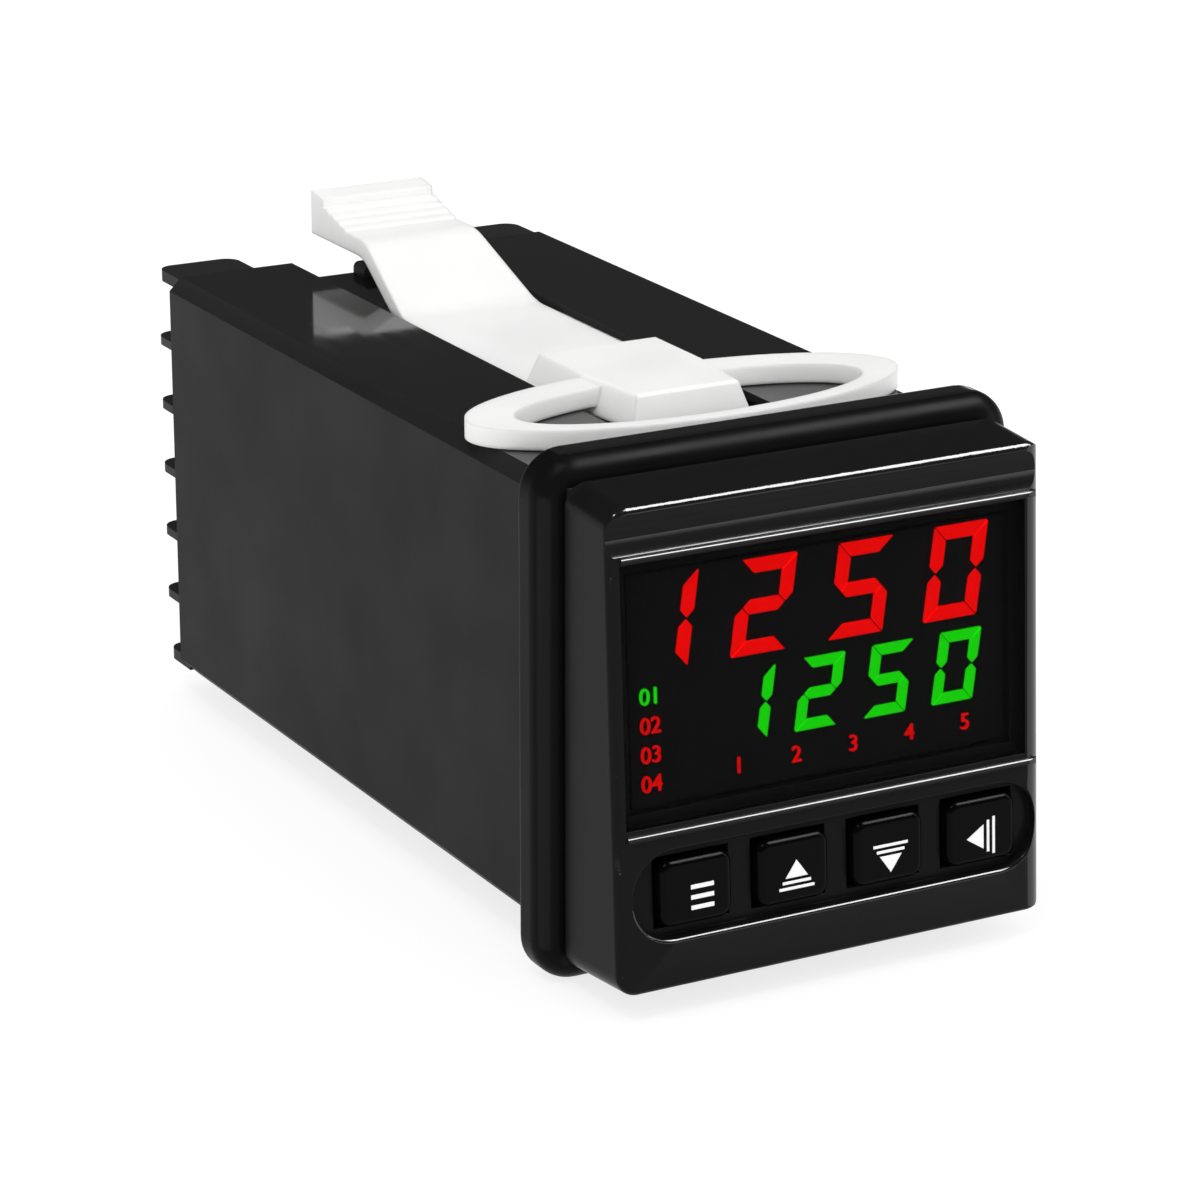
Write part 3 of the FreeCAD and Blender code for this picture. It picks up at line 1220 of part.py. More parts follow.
# Mounting clip: strap, ramp, finger head, spring ring and pressing pad in one moulding
def make_clip():
    body = new_body("mounting_clip")
    base = GROOVE_FLOOR + " + clip_lift"
    strap_top = base + " + strap_thickness"
    ring_base = TOP + " + ring_lift"
    ramp_end = RAMP_START + " + ramp_length"
    head_top = strap_top + " + ramp_rise"
    head_base = head_top + " - head_thickness"
    profile = new_sketch(body, "clip_profile", "YZ_Plane")
    lip_front = HEAD_END + " - head_lip"
    grips = []
    for grip in range(int(value("grip_count"))):
        grip_end = "%s - %d * grip_pitch" % (lip_front, grip)
        level = "%s + (grip_count - %d) * grip_step" % (head_top, grip)
        grips.append((grip_end, level))
        grips.append(("%s - grip_run" % grip_end, "%s - grip_fall" % level))
    outline(profile, [
        ("strap_start", base),
        (RAMP_START + " + ramp_shift", base),
        ("%s + ramp_shift / 2" % ramp_end, head_base),
        (HEAD_END, head_base),
        (HEAD_END, "%s + head_lip_height" % head_base),
        (lip_front, "%s + head_lip_height - lip_slope" % head_base),
    ] + grips + [
        ("%s - grip_count * grip_pitch" % lip_front, head_top),
        (ramp_end, head_top),
        (RAMP_START, strap_top),
        ("strap_start", strap_top),
    ])
    run = extrude("Pad", "clip_run", profile, "clip_width", middle=True)
    ramp_foot = number_of(RAMP_START)
    ramp_crest = number_of(ramp_end)
    levels = {
        "ramp_foot": (ramp_foot, ramp_foot + value("ramp_shift")),
        "ramp_crest": (ramp_crest, ramp_crest + value("ramp_shift") / 2),
    }
    bent = run
    for name, places in levels.items():
        def at_bend(first, second):
            return runs_along(0)(first, second) and any(near(first.y, place) for place in places)

        bent = dress("Fillet", name, bent, edges_of(bent, at_bend), "Radius", "ramp_round")

    # The ramp narrows to the head
    taper = new_sketch(body, "taper_section", "XY_Plane", "%s + channel_depth" % TOP)
    for hand in (-1, 1):
        outline(taper, [
            ("%d * clip_width / 2" % hand, RAMP_START),
            ("%d * (clip_width / 2 + cut_overrun)" % hand, RAMP_START),
            ("%d * (clip_width / 2 + cut_overrun)" % hand, HEAD_END + " + cut_overrun"),
            ("%d * head_width / 2" % hand, HEAD_END + " + cut_overrun"),
            ("%d * head_width / 2" % hand, ramp_end),
        ])
    narrowed = extrude("Pocket", "taper_run", taper, "2 * %s" % TOP, middle=True)
    end = number_of(HEAD_END)

    def head_edge(first, second):
        return near(first.y, end) and near(second.y, end)

    dress("Fillet", "head_rounding", narrowed, edges_of(narrowed, head_edge), "Radius", "clip_round")

    # Pressing pad that joins the ring to the strap, with sloping sides
    height = "(%s + ring_thickness + pad_rise - (%s) + pad_root)" % (ring_base, strap_top)
    spread = "%s * tan(pad_draft)" % height
    foot = new_sketch(body, "pad_section", "XY_Plane", "%s - pad_root" % strap_top)
    outline(foot, [
        ("-(pad_tip_width / 2 + %s)" % spread, "tongue_front - %s" % spread),
        ("pad_tip_width / 2 + %s" % spread, "tongue_front - %s" % spread),
        ("pad_width / 2 + %s" % spread, "pad_waist"),
        ("pad_width / 2 + %s" % spread, "pad_end + %s" % spread),
        ("-(pad_width / 2 + %s)" % spread, "pad_end + %s" % spread),
        ("-(pad_width / 2 + %s)" % spread, "pad_waist"),
    ])
    crown = number_of("%s + ring_thickness + pad_rise" % ring_base)
    pad = extrude("Pad", "pad_form", foot, height)
    bind(pad, "TaperAngle", "-pad_draft")
    doc.recompute()

    def pad_edge(first, second):
        return near(first.z, crown) and near(second.z, crown)

    dress("Fillet", "pad_rounding", pad, edges_of(pad, pad_edge), "Radius", "pad_round")

    # Spring ring
    ring = new_sketch(body, "ring_section", "XY_Plane", ring_base)
    ring_width = "2 * (%s + ring_side)" % SIDE
    oval(ring, ring_width, "ring_length", "ring_front + ring_length / 2")
    oval(ring, ring_width + " - 2 * ring_end", "ring_hole_length",
         "ring_front + ring_front_bar + ring_hole_length / 2")
    extrude("Pad", "ring_run", ring, "ring_thickness")

    # Side flanges that run under the groove's lips
    flanges = new_sketch(body, "flange_section", offset="-strap_start")
    centred_outline(flanges, "channel_width + 2 * lip_reach - 2 * clip_lift",
                    "channel_depth - lip_height - 2 * clip_lift", "0",
                    "%s + (channel_depth - lip_height) / 2" % GROOVE_FLOOR)
    extrude("Pad", "flange_run", flanges, RAMP_START + " - strap_start - flange_setback", reverse=True)

    # Hollow under the strap that clears the teeth
    relief = new_sketch(body, "relief_section", offset="-(strap_start - clip_lift)")
    centred_outline(relief, "rack_width + 2 * groove_reach", "2 * (tooth_height + clip_lift)",
                    "0", GROOVE_FLOOR)
    extrude("Pocket", "relief_run", relief)


make_sleeve()
make_terminal_block()
make_screws()
make_clamps()
make_contacts()
make_bezel()
make_seal()
make_window()
make_display()
make_digits("upper_digits", "upper", UPPER_LEFT, UPPER_LEVEL)
make_digits("lower_digits", "lower", LOWER_LEFT, LOWER_LEVEL)
make_lamps()
make_boards()
make_headers()
make_switches()
for position, key_name in enumerate(KEY_NAMES):
    make_key(key_name, position)
make_power_parts()
make_main_parts()
make_clip()
doc.recompute()

for item in doc.Objects:
    if FAILED_STATES & set(item.State):
        raise RuntimeError("%s did not build: %s" % (item.Name, item.State))
for item in nodes:
    if item.Shape.isNull() or not item.Shape.isValid():
        raise RuntimeError("%s has no valid shape" % item.Label)

os.makedirs("parts", exist_ok=True)
for item in nodes:
    item.Shape.exportStep("parts/%s.step" % item.Label)
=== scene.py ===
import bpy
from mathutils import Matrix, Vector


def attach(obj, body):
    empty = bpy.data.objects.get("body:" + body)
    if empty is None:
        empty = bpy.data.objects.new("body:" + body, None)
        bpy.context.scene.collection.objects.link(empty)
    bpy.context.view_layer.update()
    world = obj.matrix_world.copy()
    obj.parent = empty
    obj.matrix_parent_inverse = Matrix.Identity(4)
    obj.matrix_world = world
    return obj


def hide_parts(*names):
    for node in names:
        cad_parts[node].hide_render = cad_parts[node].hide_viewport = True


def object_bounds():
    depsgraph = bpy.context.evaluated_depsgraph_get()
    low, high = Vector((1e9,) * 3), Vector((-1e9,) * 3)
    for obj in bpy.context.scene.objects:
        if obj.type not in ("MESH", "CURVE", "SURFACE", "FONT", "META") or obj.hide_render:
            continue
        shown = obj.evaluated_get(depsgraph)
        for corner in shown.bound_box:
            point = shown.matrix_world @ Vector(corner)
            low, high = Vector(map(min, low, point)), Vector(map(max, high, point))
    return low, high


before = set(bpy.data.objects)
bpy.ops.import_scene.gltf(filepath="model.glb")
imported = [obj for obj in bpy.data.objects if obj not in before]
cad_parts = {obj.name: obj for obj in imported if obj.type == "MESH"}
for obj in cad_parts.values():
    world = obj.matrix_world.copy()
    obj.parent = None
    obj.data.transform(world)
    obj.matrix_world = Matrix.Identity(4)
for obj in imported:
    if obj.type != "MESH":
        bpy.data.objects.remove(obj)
cad_box = [list(corner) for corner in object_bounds()]

import math

import bmesh
import bpy
from mathutils import Euler, Matrix, Vector

MM = 0.001

# The middle of the leaning face ahead of the origin and above it, in millimetres, and how far it leans
FACE_REACH = 13.95
FACE_RISE = 0.2
FACE_TILT = math.radians(3.4)

# Raised signs on the keys, in millimetres; they stand a little below the keys' middle
SIGN_DROP = 0.6
SIGN_HEIGHT = 0.06
SIGN_SINK = 0.01

# Numbers behind the window, in millimetres, and the share of a font's size that a digit fills
NUMBER_HEIGHT = 1.55
CAP_SHARE = 0.73
MERGE_REACH = 0.001
COLUMN_COUNT = 4
COLUMN_PITCH = 2.62
ROW_COUNT = 5
ROW_LEFT = -9.6
ROW_LEVEL = -3.05
ROW_PITCH = 5.85

# Where finishes change: places in metres, and parts of a polygon's normal
COLLAR_REAR = 0.6 * MM
LEVEL = 0.95
FLANK_START = 19.8 * MM
FLANK_TURN = 0.08
FLANK_TIP = 0.2
EDGES_REAR = -10.0 * MM
EDGE_LIFT = (0.12, 0.97)
EDGE_AHEAD = 0.1
EDGE_ACROSS = 0.5

# The face's own frame: x across, y into the part, z up along the leaning face
FACE = Matrix.Translation(Vector((0, -FACE_REACH, FACE_RISE)) * MM) @ Matrix.Rotation(-FACE_TILT, 4, "X")

# Surface patterns: the middle band of a noise, and the pointiness from which an edge is worn
NOISE_BAND = (0.3, 0.7)
WEAR_BAND = (0.52, 0.62)
WEAR_GAIN = 1.35
WEAR_LIFT = 0.004
BEVEL_SAMPLES = 4
LIT_SHADE = 0.9
METAL_SHADE = 0.82
TRACK_BAND = (0.46, 0.54)


# Materials: noise scales are per metre, tones are linear light
def new_material(name):
    material = bpy.data.materials.new(name)
    material.use_nodes = True
    tree = material.node_tree
    shader = tree.nodes["Principled BSDF"]
    return material, tree, shader


def link(tree, source, target):
    tree.links.new(source, target)


def grey(level, blue=0.0):
    """A neutral tone, with more or less blue."""
    return (level, level, level + blue)


def place_node(tree, stretch=(1, 1, 1)):
    """Object coordinates, stretched along the axes."""
    coordinates = tree.nodes.new("ShaderNodeTexCoord")
    mapping = tree.nodes.new("ShaderNodeMapping")
    mapping.inputs["Scale"].default_value = stretch
    link(tree, coordinates.outputs["Object"], mapping.inputs["Vector"])
    return mapping.outputs["Vector"]


def noise(tree, where, scale, detail):
    node = tree.nodes.new("ShaderNodeTexNoise")
    node.inputs["Scale"].default_value = scale
    node.inputs["Detail"].default_value = detail
    link(tree, where, node.inputs["Vector"])
    return node.outputs["Fac"]


def remap(tree, value, result, band=(0.0, 1.0)):
    """A value's band spread over the range of the result."""
    node = tree.nodes.new("ShaderNodeMapRange")
    node.inputs["From Min"].default_value, node.inputs["From Max"].default_value = band
    node.inputs["To Min"].default_value, node.inputs["To Max"].default_value = result
    link(tree, value, node.inputs["Value"])
    return node.outputs["Result"]


def combine(tree, operation, first, second):
    """What a maths node makes of two values."""
    node = tree.nodes.new("ShaderNodeMath")
    node.operation = operation
    link(tree, first, node.inputs[0])
    link(tree, second, node.inputs[1])
    return node.outputs["Value"]


def blend_colours(tree, factor, first, second):
    node = tree.nodes.new("ShaderNodeMix")
    node.data_type = "RGBA"
    link(tree, factor, node.inputs["Factor"])
    for socket, colour in ((node.inputs["A"], first), (node.inputs["B"], second)):
        if isinstance(colour, tuple):
            socket.default_value = (*colour, 1.0)
        else:
            link(tree, colour, socket)
    return node.outputs["Result"]


def bump(tree, shader, height, strength, depth, edge=None):
    """Relief of a depth in millimetres, over edges that look rounded where a radius is given."""
    node = tree.nodes.new("ShaderNodeBump")
    node.inputs["Strength"].default_value = strength
    node.inputs["Distance"].default_value = depth * MM
    link(tree, height, node.inputs["Height"])
    if edge is not None:
        rounded = tree.nodes.new("ShaderNodeBevel")
        rounded.samples = BEVEL_SAMPLES
        rounded.inputs["Radius"].default_value = edge * MM
        link(tree, rounded.outputs["Normal"], node.inputs["Normal"])
    link(tree, node.outputs["Normal"], shader.inputs["Normal"])


def edge_wear(tree):
    """One along sharp outer edges, nothing on flats and in hollows."""
    geometry = tree.nodes.new("ShaderNodeNewGeometry")
    return remap(tree, geometry.outputs["Pointiness"], (0.0, 1.0), WEAR_BAND)


def plastic(name, dark, light, rough, grain, depth, specular, edge=0.12):
    """Moulded plastic: faint flow mottle, rubbed edges and a fine surface grain."""
    material, tree, shader = new_material(name)
    where = place_node(tree)
    mottle = noise(tree, where, scale=90, detail=4)
    fine = noise(tree, where, scale=grain, detail=2)
    colour = blend_colours(tree, mottle, dark, light)
    rubbed = tuple(min(1.0, WEAR_GAIN * part + WEAR_LIFT) for part in light)
    colour = blend_colours(tree, edge_wear(tree), colour, rubbed)
    link(tree, colour, shader.inputs["Base Color"])
    link(tree, remap(tree, mottle, rough, NOISE_BAND), shader.inputs["Roughness"])
    bump(tree, shader, fine, strength=0.35, depth=depth, edge=edge)
    shader.inputs["Specular IOR Level"].default_value = specular
    return material


def polished_top():
    """The sleeve's polished upper side, with faint drag lines along the draw."""
    material, tree, shader = new_material("sleeve_polished")
    mottle = noise(tree, place_node(tree), scale=60, detail=4)
    streaks = noise(tree, place_node(tree, (1, 0.06, 1)), scale=700, detail=3)
    colour = blend_colours(tree, mottle, grey(0.007, 0.0003), grey(0.010, 0.0003))
    link(tree, colour, shader.inputs["Base Color"])
    link(tree, remap(tree, streaks, (0.05, 0.11), NOISE_BAND), shader.inputs["Roughness"])
    bump(tree, shader, streaks, strength=0.15, depth=0.006)
    shader.inputs["Specular IOR Level"].default_value = 0.5
    return material


def clip_material():
    """White nylon, slightly cloudy, that lets some light through."""
    material, tree, shader = new_material("clip_white")
    where = place_node(tree)
    cloud = noise(tree, where, scale=120, detail=5)
    fine = noise(tree, where, scale=1500, detail=2)
    colour = blend_colours(tree, cloud, grey(0.88, -0.01), grey(0.94, -0.01))
    link(tree, colour, shader.inputs["Base Color"])
    link(tree, remap(tree, cloud, (0.34, 0.46), NOISE_BAND), shader.inputs["Roughness"])
    bump(tree, shader, fine, strength=0.25, depth=0.01, edge=0.45)
    shader.inputs["Subsurface Weight"].default_value = 0.4
    shader.inputs["Subsurface Radius"].default_value = (1.0, 1.0, 0.95)
    shader.inputs["Subsurface Scale"].default_value = 1.5 * MM
    shader.inputs["Specular IOR Level"].default_value = 0.4
    return material


def lit_material(name, colour, strength):
    """A diffused lamp: nearly even, a little brighter in patches."""
    material, tree, shader = new_material(name)
    glow = noise(tree, place_node(tree), scale=900, detail=2)
    shade = tuple(LIT_SHADE * part for part in colour)
    tone = blend_colours(tree, glow, shade, colour)
    link(tree, tone, shader.inputs["Base Color"])
    link(tree, tone, shader.inputs["Emission Color"])
    shader.inputs["Emission Strength"].default_value = strength
    shader.inputs["Roughness"].default_value = 0.5
    shader.inputs["Specular IOR Level"].default_value = 0.0
    return material


def window_material():
    """Smoked clear window, polished, over a black display."""
    material, tree, shader = new_material("window_smoke")
    haze = noise(tree, place_node(tree), scale=250, detail=4)
    link(tree, blend_colours(tree, haze, grey(0.002), grey(0.004)), shader.inputs["Base Color"])
    link(tree, remap(tree, haze, (0.05, 0.09)), shader.inputs["Roughness"])
    shader.inputs["Specular IOR Level"].default_value = 0.03
    shader.inputs["Alpha"].default_value = 0.35
    return material


def metal(name, colour, rough, stretch):
    """Turned or rolled metal with fine tool lines."""
    material, tree, shader = new_material(name)
    lines = noise(tree, place_node(tree, stretch), scale=2500, detail=3)
    dull = tuple(METAL_SHADE * part for part in colour)
    link(tree, blend_colours(tree, lines, dull, colour), shader.inputs["Base Color"])
    link(tree, remap(tree, lines, rough), shader.inputs["Roughness"])
    shader.inputs["Metallic"].default_value = 1.0
    bump(tree, shader, lines, strength=0.2, depth=0.01)
    return material


def board_material():
    """Green solder mask with the faint relief of tracks along the board."""
    material, tree, shader = new_material("board_green")
    streaks = noise(tree, place_node(tree, (1, 0.05, 1)), scale=700, detail=1)
    tracks = remap(tree, streaks, (0.0, 1.0), TRACK_BAND)
    cloud = noise(tree, place_node(tree), scale=400, detail=3)
    colour = blend_colours(tree, tracks, (0.010, 0.095, 0.03), (0.014, 0.12, 0.038))
    link(tree, colour, shader.inputs["Base Color"])
    link(tree, remap(tree, cloud, (0.25, 0.4)), shader.inputs["Roughness"])
    bump(tree, shader, tracks, strength=0.3, depth=0.02)
    return material


# Each plastic has a dark and a light tone, its roughness, its grain per metre, the grain's depth in
# millimetres, its specular level and, where it isn't the usual one, the radius of its edges in millimetres
BLACK = plastic("bezel_black", grey(0.0065, 0.0005), grey(0.009, 0.0005), (0.2, 0.28), 2200, 0.004, 0.05)
EDGE_BLACK = plastic(
    "edge_black", grey(0.006, 0.0005), grey(0.008, 0.0005), (0.1, 0.16), 2200, 0.002, 0.6, edge=0.05)
# The face's rounded right side: a glossier black, and a lighter base tone that is a painted reflection of
# the bright side
FLANK_PAINTED_REFLECTION = plastic(
    "flank_painted_reflection", grey(0.008, 0.0005), grey(0.011, 0.0005), (0.14, 0.2), 2200, 0.004, 0.4)
# The collar is the sleeve's own moulding: its darker base tone is painted shade, with a lower specular
# level as well
COLLAR_PAINTED_SHADE = plastic(
    "collar_painted_shade", grey(0.004, 0.0002), grey(0.006, 0.0002), (0.3, 0.4), 2200, 0.006, 0.04)
KEY_BLACK = plastic(
    "key_black", grey(0.0015, 0.0001), grey(0.0022, 0.0001), (0.13, 0.2), 1500, 0.004, 0.05, edge=0.2)
BLOCK_BLACK = plastic(
    "block_black", grey(0.009, 0.0005), grey(0.013, 0.0005), (0.36, 0.5), 2000, 0.012, 0.1)
SEAL_BLACK = plastic("seal_black", grey(0.004), grey(0.006), (0.7, 0.85), 3000, 0.02, 0.2)
DISPLAY_BLACK = plastic("display_black", grey(0.002), grey(0.003), (0.6, 0.7), 2000, 0.01, 0.1)
PART_BLACK = plastic(
    "component_black", grey(0.02, 0.001), grey(0.03, 0.001), (0.4, 0.55), 2500, 0.012, 0.4)
RELAY_BLUE = plastic(
    "relay_blue", (0.02, 0.06, 0.2), (0.03, 0.08, 0.26), (0.3, 0.4), 2000, 0.01, 0.5)
HEADER_IVORY = plastic(
    "header_ivory", (0.6, 0.57, 0.46), (0.68, 0.64, 0.53), (0.4, 0.5), 2000, 0.01, 0.4)
TAPE_YELLOW = plastic(
    "tape_yellow", (0.6, 0.42, 0.05), (0.7, 0.5, 0.07), (0.3, 0.42), 900, 0.02, 0.4)
CAN_BLUE = plastic(
    "can_blue", (0.01, 0.015, 0.05), (0.015, 0.022, 0.07), (0.2, 0.3), 1500, 0.005, 0.5)
SIGN_WHITE = plastic("sign_white", grey(0.72, 0.02), grey(0.8, 0.02), (0.35, 0.45), 2500, 0.006, 0.4)
SLEEVE = plastic(
    "sleeve_black", grey(0.014, 0.0005), grey(0.020, 0.0005), (0.46, 0.58), 2600, 0.012, 0.06)
POLISHED = polished_top()
CLIP = clip_material()
RED = lit_material("lit_red", (1.0, 0.001, 0.001), strength=1.45)
GREEN = lit_material("lit_green", (0.01, 0.85, 0.003), strength=1.25)
LEGEND_RED = lit_material("legend_red", (0.9, 0.003, 0.003), strength=1.2)
WINDOW = window_material()
STEEL = metal("screw_nickel", (0.62, 0.6, 0.56), rough=(0.22, 0.36), stretch=(1, 1, 1))
BRASS = metal("contact_brass", (0.68, 0.52, 0.25), rough=(0.2, 0.34), stretch=(1, 0.1, 1))
BOARD = board_material()

FINISH = {
    "housing_sleeve": SLEEVE,
    "terminal_block": BLOCK_BLACK,
    "terminal_screws": STEEL,
    "terminal_clamps": STEEL,
    "contact_springs": BRASS,
    "front_bezel": BLACK,
    "bezel_seal": SEAL_BLACK,
    "display_window": WINDOW,
    "display_block": DISPLAY_BLACK,
    "upper_digits": RED,
    "lower_digits": GREEN,
    "run_lamp": GREEN,
    "status_lamps": LEGEND_RED,
    "display_board": BOARD,
    "main_board": BOARD,
    "power_board": BOARD,
    "board_headers": HEADER_IVORY,
    "key_switches": PART_BLACK,
    "power_transformer": TAPE_YELLOW,
    "input_capacitor": CAN_BLUE,
    "output_relays": RELAY_BLUE,
    "processor_chip": PART_BLACK,
    "mounting_clip": CLIP,
    "key_menu": KEY_BLACK,
    "key_up": KEY_BLACK,
    "key_down": KEY_BLACK,
    "key_shift_left": KEY_BLACK,
}
for node, material in FINISH.items():
    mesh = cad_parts[node].data
    mesh.materials.clear()
    mesh.materials.append(material)


def finish_where(node, material, test):
    """Another finish on the polygons of a node that pass a test."""
    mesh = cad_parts[node].data
    mesh.materials.append(material)
    for polygon in mesh.polygons:
        if test(polygon):
            polygon.material_index = len(mesh.materials) - 1


def on_collar(polygon):
    return polygon.center.y < COLLAR_REAR


def on_top(polygon):
    """Level polygons that look up."""
    return polygon.normal.z > LEVEL


def on_flank(polygon):
    """The rounded right side of the face, apart from its ends, which takes a lighter black as a painted
    reflection.
    """
    normal = polygon.normal
    looks_aside = normal.x > FLANK_TURN and abs(normal.z) < FLANK_TIP
    return looks_aside and polygon.center.x > FLANK_START


def on_upper_edge(polygon):
    """Rounded edges of the face that look up: top edge, ridges and the rim of the recess."""
    normal = polygon.normal
    looks_up = EDGE_LIFT[0] < normal.z < EDGE_LIFT[1]
    looks_ahead = normal.y < -EDGE_AHEAD and abs(normal.x) < EDGE_ACROSS
    return looks_up and looks_ahead and polygon.center.y < EDGES_REAR


# The collar's polygons take the darker black of painted shade
finish_where("housing_sleeve", COLLAR_PAINTED_SHADE, on_collar)
finish_where("housing_sleeve", POLISHED, on_top)
# The rounded right side takes the lighter black of a painted reflection
finish_where("front_bezel", FLANK_PAINTED_REFLECTION, on_flank)
finish_where("front_bezel", EDGE_BLACK, on_upper_edge)


# Pieces on the face
def box_on_face(node):
    """A node's lowest and highest corners, in millimetres of the face's frame."""
    places = [FACE.inverted() @ vertex.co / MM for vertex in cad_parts[node].data.vertices]
    return [[pick(place[axis] for place in places) for axis in range(3)] for pick in (min, max)]


def add_piece(name, mesh, material, body):
    """A new piece of the visible model, its mesh in millimetres of the face's frame."""
    mesh.transform(FACE @ Matrix.Scale(MM, 4))
    piece = bpy.data.objects.new(name, mesh)
    bpy.context.scene.collection.objects.link(piece)
    mesh.materials.append(material)
    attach(piece, body)
    return piece


# Signs on the keys
def plate(outlines, across, seat, level):
    """Thin raised shapes on a key's front, each from its corners, about a place on the face."""
    mesh = bpy.data.meshes.new("plate")
    shape = bmesh.new()
    for corners in outlines:
        front, rear = (
            [shape.verts.new((across + x, depth, level + z)) for x, z in corners]
            for depth in (seat - SIGN_HEIGHT, seat + SIGN_SINK)
        )
        shape.faces.new(front)
        shape.faces.new(rear[::-1])
        for corner in range(len(corners)):
            following = (corner + 1) % len(corners)
            shape.faces.new((front[following], front[corner], rear[corner], rear[following]))
    bmesh.ops.recalc_face_normals(shape, faces=shape.faces)
    shape.to_mesh(mesh)
    shape.free()
    return mesh


def bar(left, right, low, high):
    return [(left, low), (right, low), (right, high), (left, high)]


def flip(outlines):
    return [[(x, -z) for x, z in corners] for corners in outlines]


# Outlines in millimetres about each sign's middle
ARROW = [
    [(-1.15, -0.1), (1.15, -0.1), (0, 1.5)],
    bar(-1.45, 1.45, -0.65, -0.38),
    bar(-1.8, 1.8, -1.2, -0.93),
]
MENU = [
    bar(-1.15, 1.15, 0.75, 1.15),
    bar(-1.15, 1.15, -0.2, 0.2),
    bar(-1.15, 1.15, -1.15, -0.75),
]
SHIFT = [
    [(-1.7, 0), (0.1, -1.15), (0.1, 1.15)],
    bar(0.45, 0.72, -1.5, 1.5),
    bar(1.05, 1.32, -1.75, 1.75),
]

# Each key from the left: its sign, and how far right of the key's middle it stands
SIGNS = {
    "key_menu": (MENU, 0.5),
    "key_up": (ARROW, 0.2),
    "key_down": (flip(ARROW), 0.1),
    "key_shift_left": (SHIFT, 0.0),
}
for key, (outlines, shift) in SIGNS.items():
    low, high = box_on_face(key)
    across = (low[0] + high[0]) / 2 + shift
    level = (low[2] + high[2]) / 2 - SIGN_DROP
    add_piece(key + "_sign", plate(outlines, across, low[1], level), SIGN_WHITE, key)


# Plain numbers where the display lights its status places, as deep in as the lamps they replace
lamp_low, lamp_high = box_on_face("run_lamp")
LIT_MIDDLE = (lamp_low[1] + lamp_high[1]) / 2
LIT_THICKNESS = lamp_high[1] - lamp_low[1]
COLUMN_LEFT = lamp_low[0]
COLUMN_LEVEL = (lamp_low[2] + lamp_high[2]) / 2


def numbers(labels):
    """One mesh of raised numbers, each label with its left end and its middle height."""
    shape = bmesh.new()
    for label, left, level in labels:
        writing = bpy.data.curves.new("writing", "FONT")
        writing.body = label
        writing.size = NUMBER_HEIGHT / CAP_SHARE
        writing.extrude = LIT_THICKNESS / 2
        holder = bpy.data.objects.new("writing", writing)
        lying = bpy.data.meshes.new_from_object(holder)
        place = Vector((left, LIT_MIDDLE, level - NUMBER_HEIGHT / 2))
        lying.transform(Matrix.Translation(place) @ Matrix.Rotation(math.pi / 2, 4, "X"))
        shape.from_mesh(lying)
        bpy.data.objects.remove(holder)
        bpy.data.curves.remove(writing)
        bpy.data.meshes.remove(lying)
    mesh = bpy.data.meshes.new("numbers")
    bmesh.ops.remove_doubles(shape, verts=shape.verts, dist=MERGE_REACH)
    shape.to_mesh(mesh)
    shape.free()
    return mesh


column = [
    ("0%d" % (place + 1), COLUMN_LEFT, COLUMN_LEVEL - place * COLUMN_PITCH)
    for place in range(COLUMN_COUNT)
]
row = [(str(place + 1), ROW_LEFT + place * ROW_PITCH, ROW_LEVEL) for place in range(ROW_COUNT)]
run_number = add_piece("run_number", numbers(column[:1]), GREEN, "module")
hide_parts("run_lamp")
status_numbers = add_piece("status_numbers", numbers(column[1:] + row), LEGEND_RED, "module")
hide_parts("status_lamps")


# Stage: a white world, darker overhead for gloss alone, and a pale floor
WORLD_STRENGTH = 0.95
OVERHEAD_BAND = (0.0, 0.14)
OVERHEAD_TONE = 0.05
FLOOR_SPAN = 3.0
FLOOR_GAP = 0.05 * MM
FLOOR_LIT_TONE = 0.8
FLOOR_SEEN_TONE = 0.3
FLOOR_SEEN_GLOW = 0.78


def background_share(tree):
    """One for rays from the camera, off gloss and through glass."""
    path = tree.nodes.new("ShaderNodeLightPath")
    seen = combine(tree, "MAXIMUM", path.outputs["Is Camera Ray"], path.outputs["Is Glossy Ray"])
    return combine(tree, "MAXIMUM", seen, path.outputs["Is Transmission Ray"])


def overhead_share(tree):
    """How dark gloss finds the world: not at all at the horizon, wholly from a little above it."""
    ray = tree.nodes.new("ShaderNodeTexCoord")
    parts = tree.nodes.new("ShaderNodeSeparateXYZ")
    link(tree, ray.outputs["Generated"], parts.inputs["Vector"])
    height = remap(tree, parts.outputs["Z"], (0.0, 1.0), OVERHEAD_BAND)
    path = tree.nodes.new("ShaderNodeLightPath")
    return combine(tree, "MULTIPLY", height, path.outputs["Is Glossy Ray"])


def make_world():
    world = bpy.data.worlds.new("studio")
    bpy.context.scene.world = world
    world.use_nodes = True
    tree = world.node_tree
    background = tree.nodes["Background"]
    colour = blend_colours(tree, overhead_share(tree), grey(1.0), grey(OVERHEAD_TONE))
    link(tree, colour, background.inputs["Color"])
    strength = remap(tree, background_share(tree), (WORLD_STRENGTH, 1.0))
    link(tree, strength, background.inputs["Strength"])


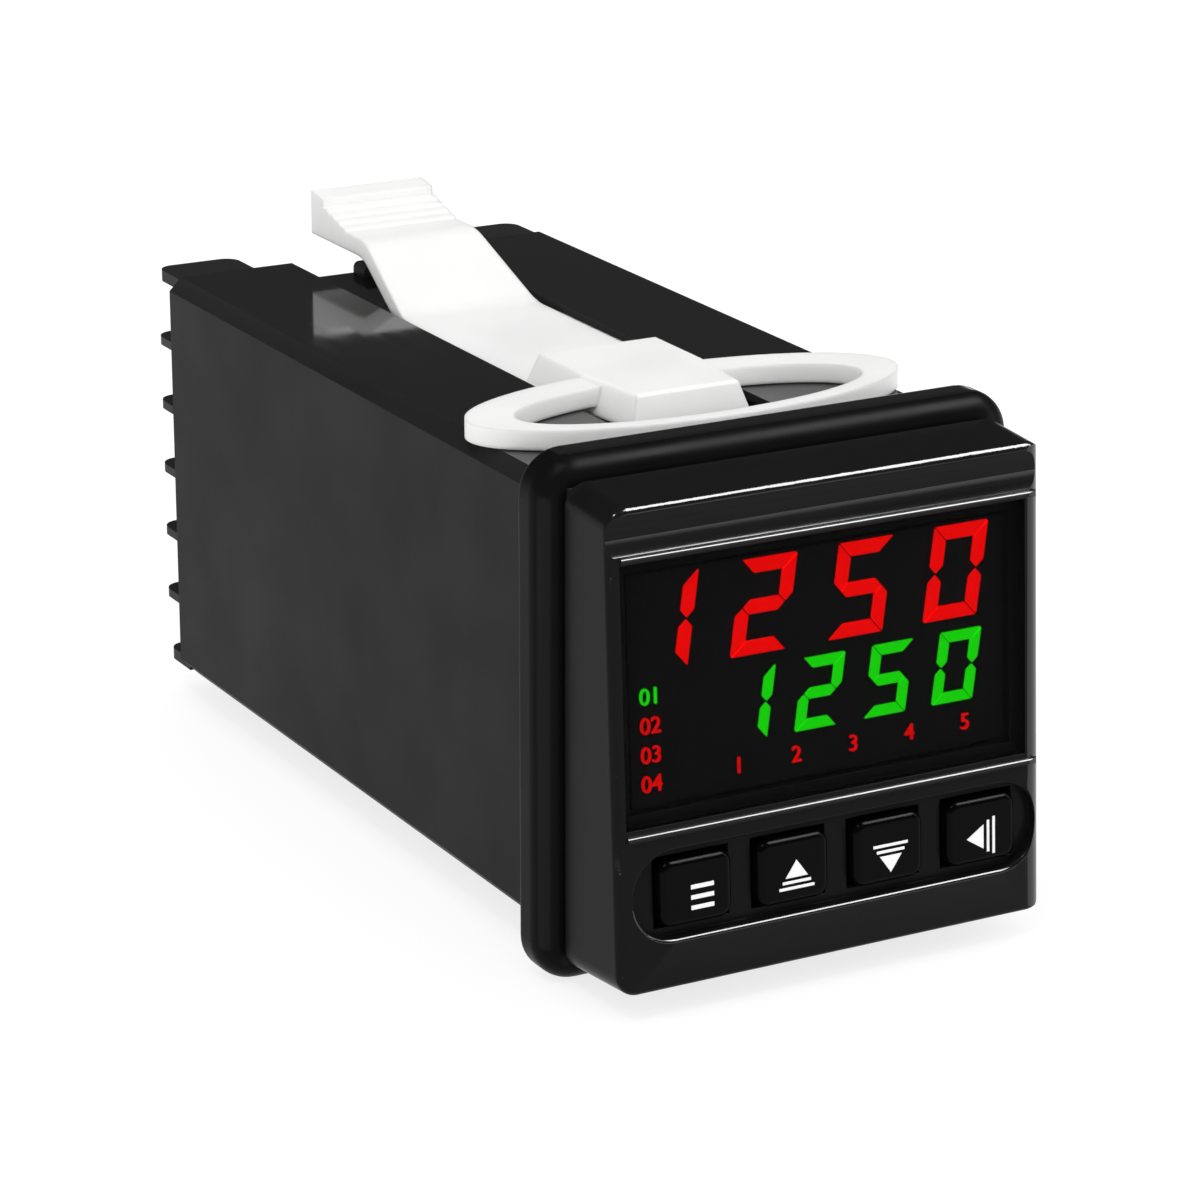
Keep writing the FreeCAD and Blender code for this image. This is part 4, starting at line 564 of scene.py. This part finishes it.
def floor_material():
    """Pale to the light, white to the eye, and dull so that the shadow stays."""
    material, tree, shader = new_material("floor_white")
    seen = background_share(tree)
    colour = blend_colours(tree, seen, grey(FLOOR_LIT_TONE), grey(FLOOR_SEEN_TONE))
    link(tree, colour, shader.inputs["Base Color"])
    shader.inputs["Roughness"].default_value = 1.0
    shader.inputs["Specular IOR Level"].default_value = 0.0
    shader.inputs["Emission Color"].default_value = (1, 1, 1, 1)
    link(tree, remap(tree, seen, (0.0, FLOOR_SEEN_GLOW)), shader.inputs["Emission Strength"])
    return material


make_world()
FLOOR_LEVEL = cad_box[0][2] - FLOOR_GAP
bpy.ops.mesh.primitive_plane_add(size=FLOOR_SPAN, location=(0, 0, FLOOR_LEVEL))
floor = bpy.context.object
floor.name = "floor"
floor.data.materials.append(floor_material())


# Lights: places, targets and sizes in metres, power in watts
def area_light(name, place, target, size, power):
    data = bpy.data.lights.new(name, "AREA")
    data.shape = "RECTANGLE"
    data.size, data.size_y = size
    data.energy = power
    lamp = bpy.data.objects.new(name, data)
    bpy.context.scene.collection.objects.link(lamp)
    lamp.location = place
    lamp.rotation_euler = (Vector(target) - Vector(place)).to_track_quat("-Z", "Y").to_euler()
    return lamp


MIDDLE = (0, 0.035, 0)
FRONT = (0, -0.012, 0.005)
area_light("key_light", (-0.35, -0.30, 0.70), MIDDLE, size=(0.12, 0.12), power=1.0)
area_light("fill_light", (0.60, -0.30, 0.30), MIDDLE, size=(0.1, 0.4), power=0.8)

# Gloss alone sees this one, which draws the bright lines along the edges of the face
edge_box = area_light("edge_box", (0.42, -0.26, 0.64), FRONT, size=(0.5, 0.28), power=8.8)
edge_box.visible_diffuse = False

# Camera, from the edges of the sleeve, collar and face in the picture; its angles are in degrees
PICTURE_PIXELS = 1200
FOCAL_PIXELS = 4389.42
SENSOR_WIDTH = 36.0
CAMERA_PLACE = Vector((-191.5586, -320.6021, 131.2705)) * MM
CAMERA_ANGLES = (71.5756, -0.0566, -28.7073)
camera_data = bpy.data.cameras.new("camera")
camera_data.sensor_width = SENSOR_WIDTH
camera_data.lens = FOCAL_PIXELS / PICTURE_PIXELS * SENSOR_WIDTH
camera_data.clip_start = 0.01
camera = bpy.data.objects.new("camera", camera_data)
bpy.context.scene.collection.objects.link(camera)
turn = Euler([math.radians(angle) for angle in CAMERA_ANGLES])
camera.matrix_world = Matrix.LocRotScale(CAMERA_PLACE, turn, None)
bpy.context.scene.camera = camera
bpy.context.scene.view_settings.view_transform = "Standard"
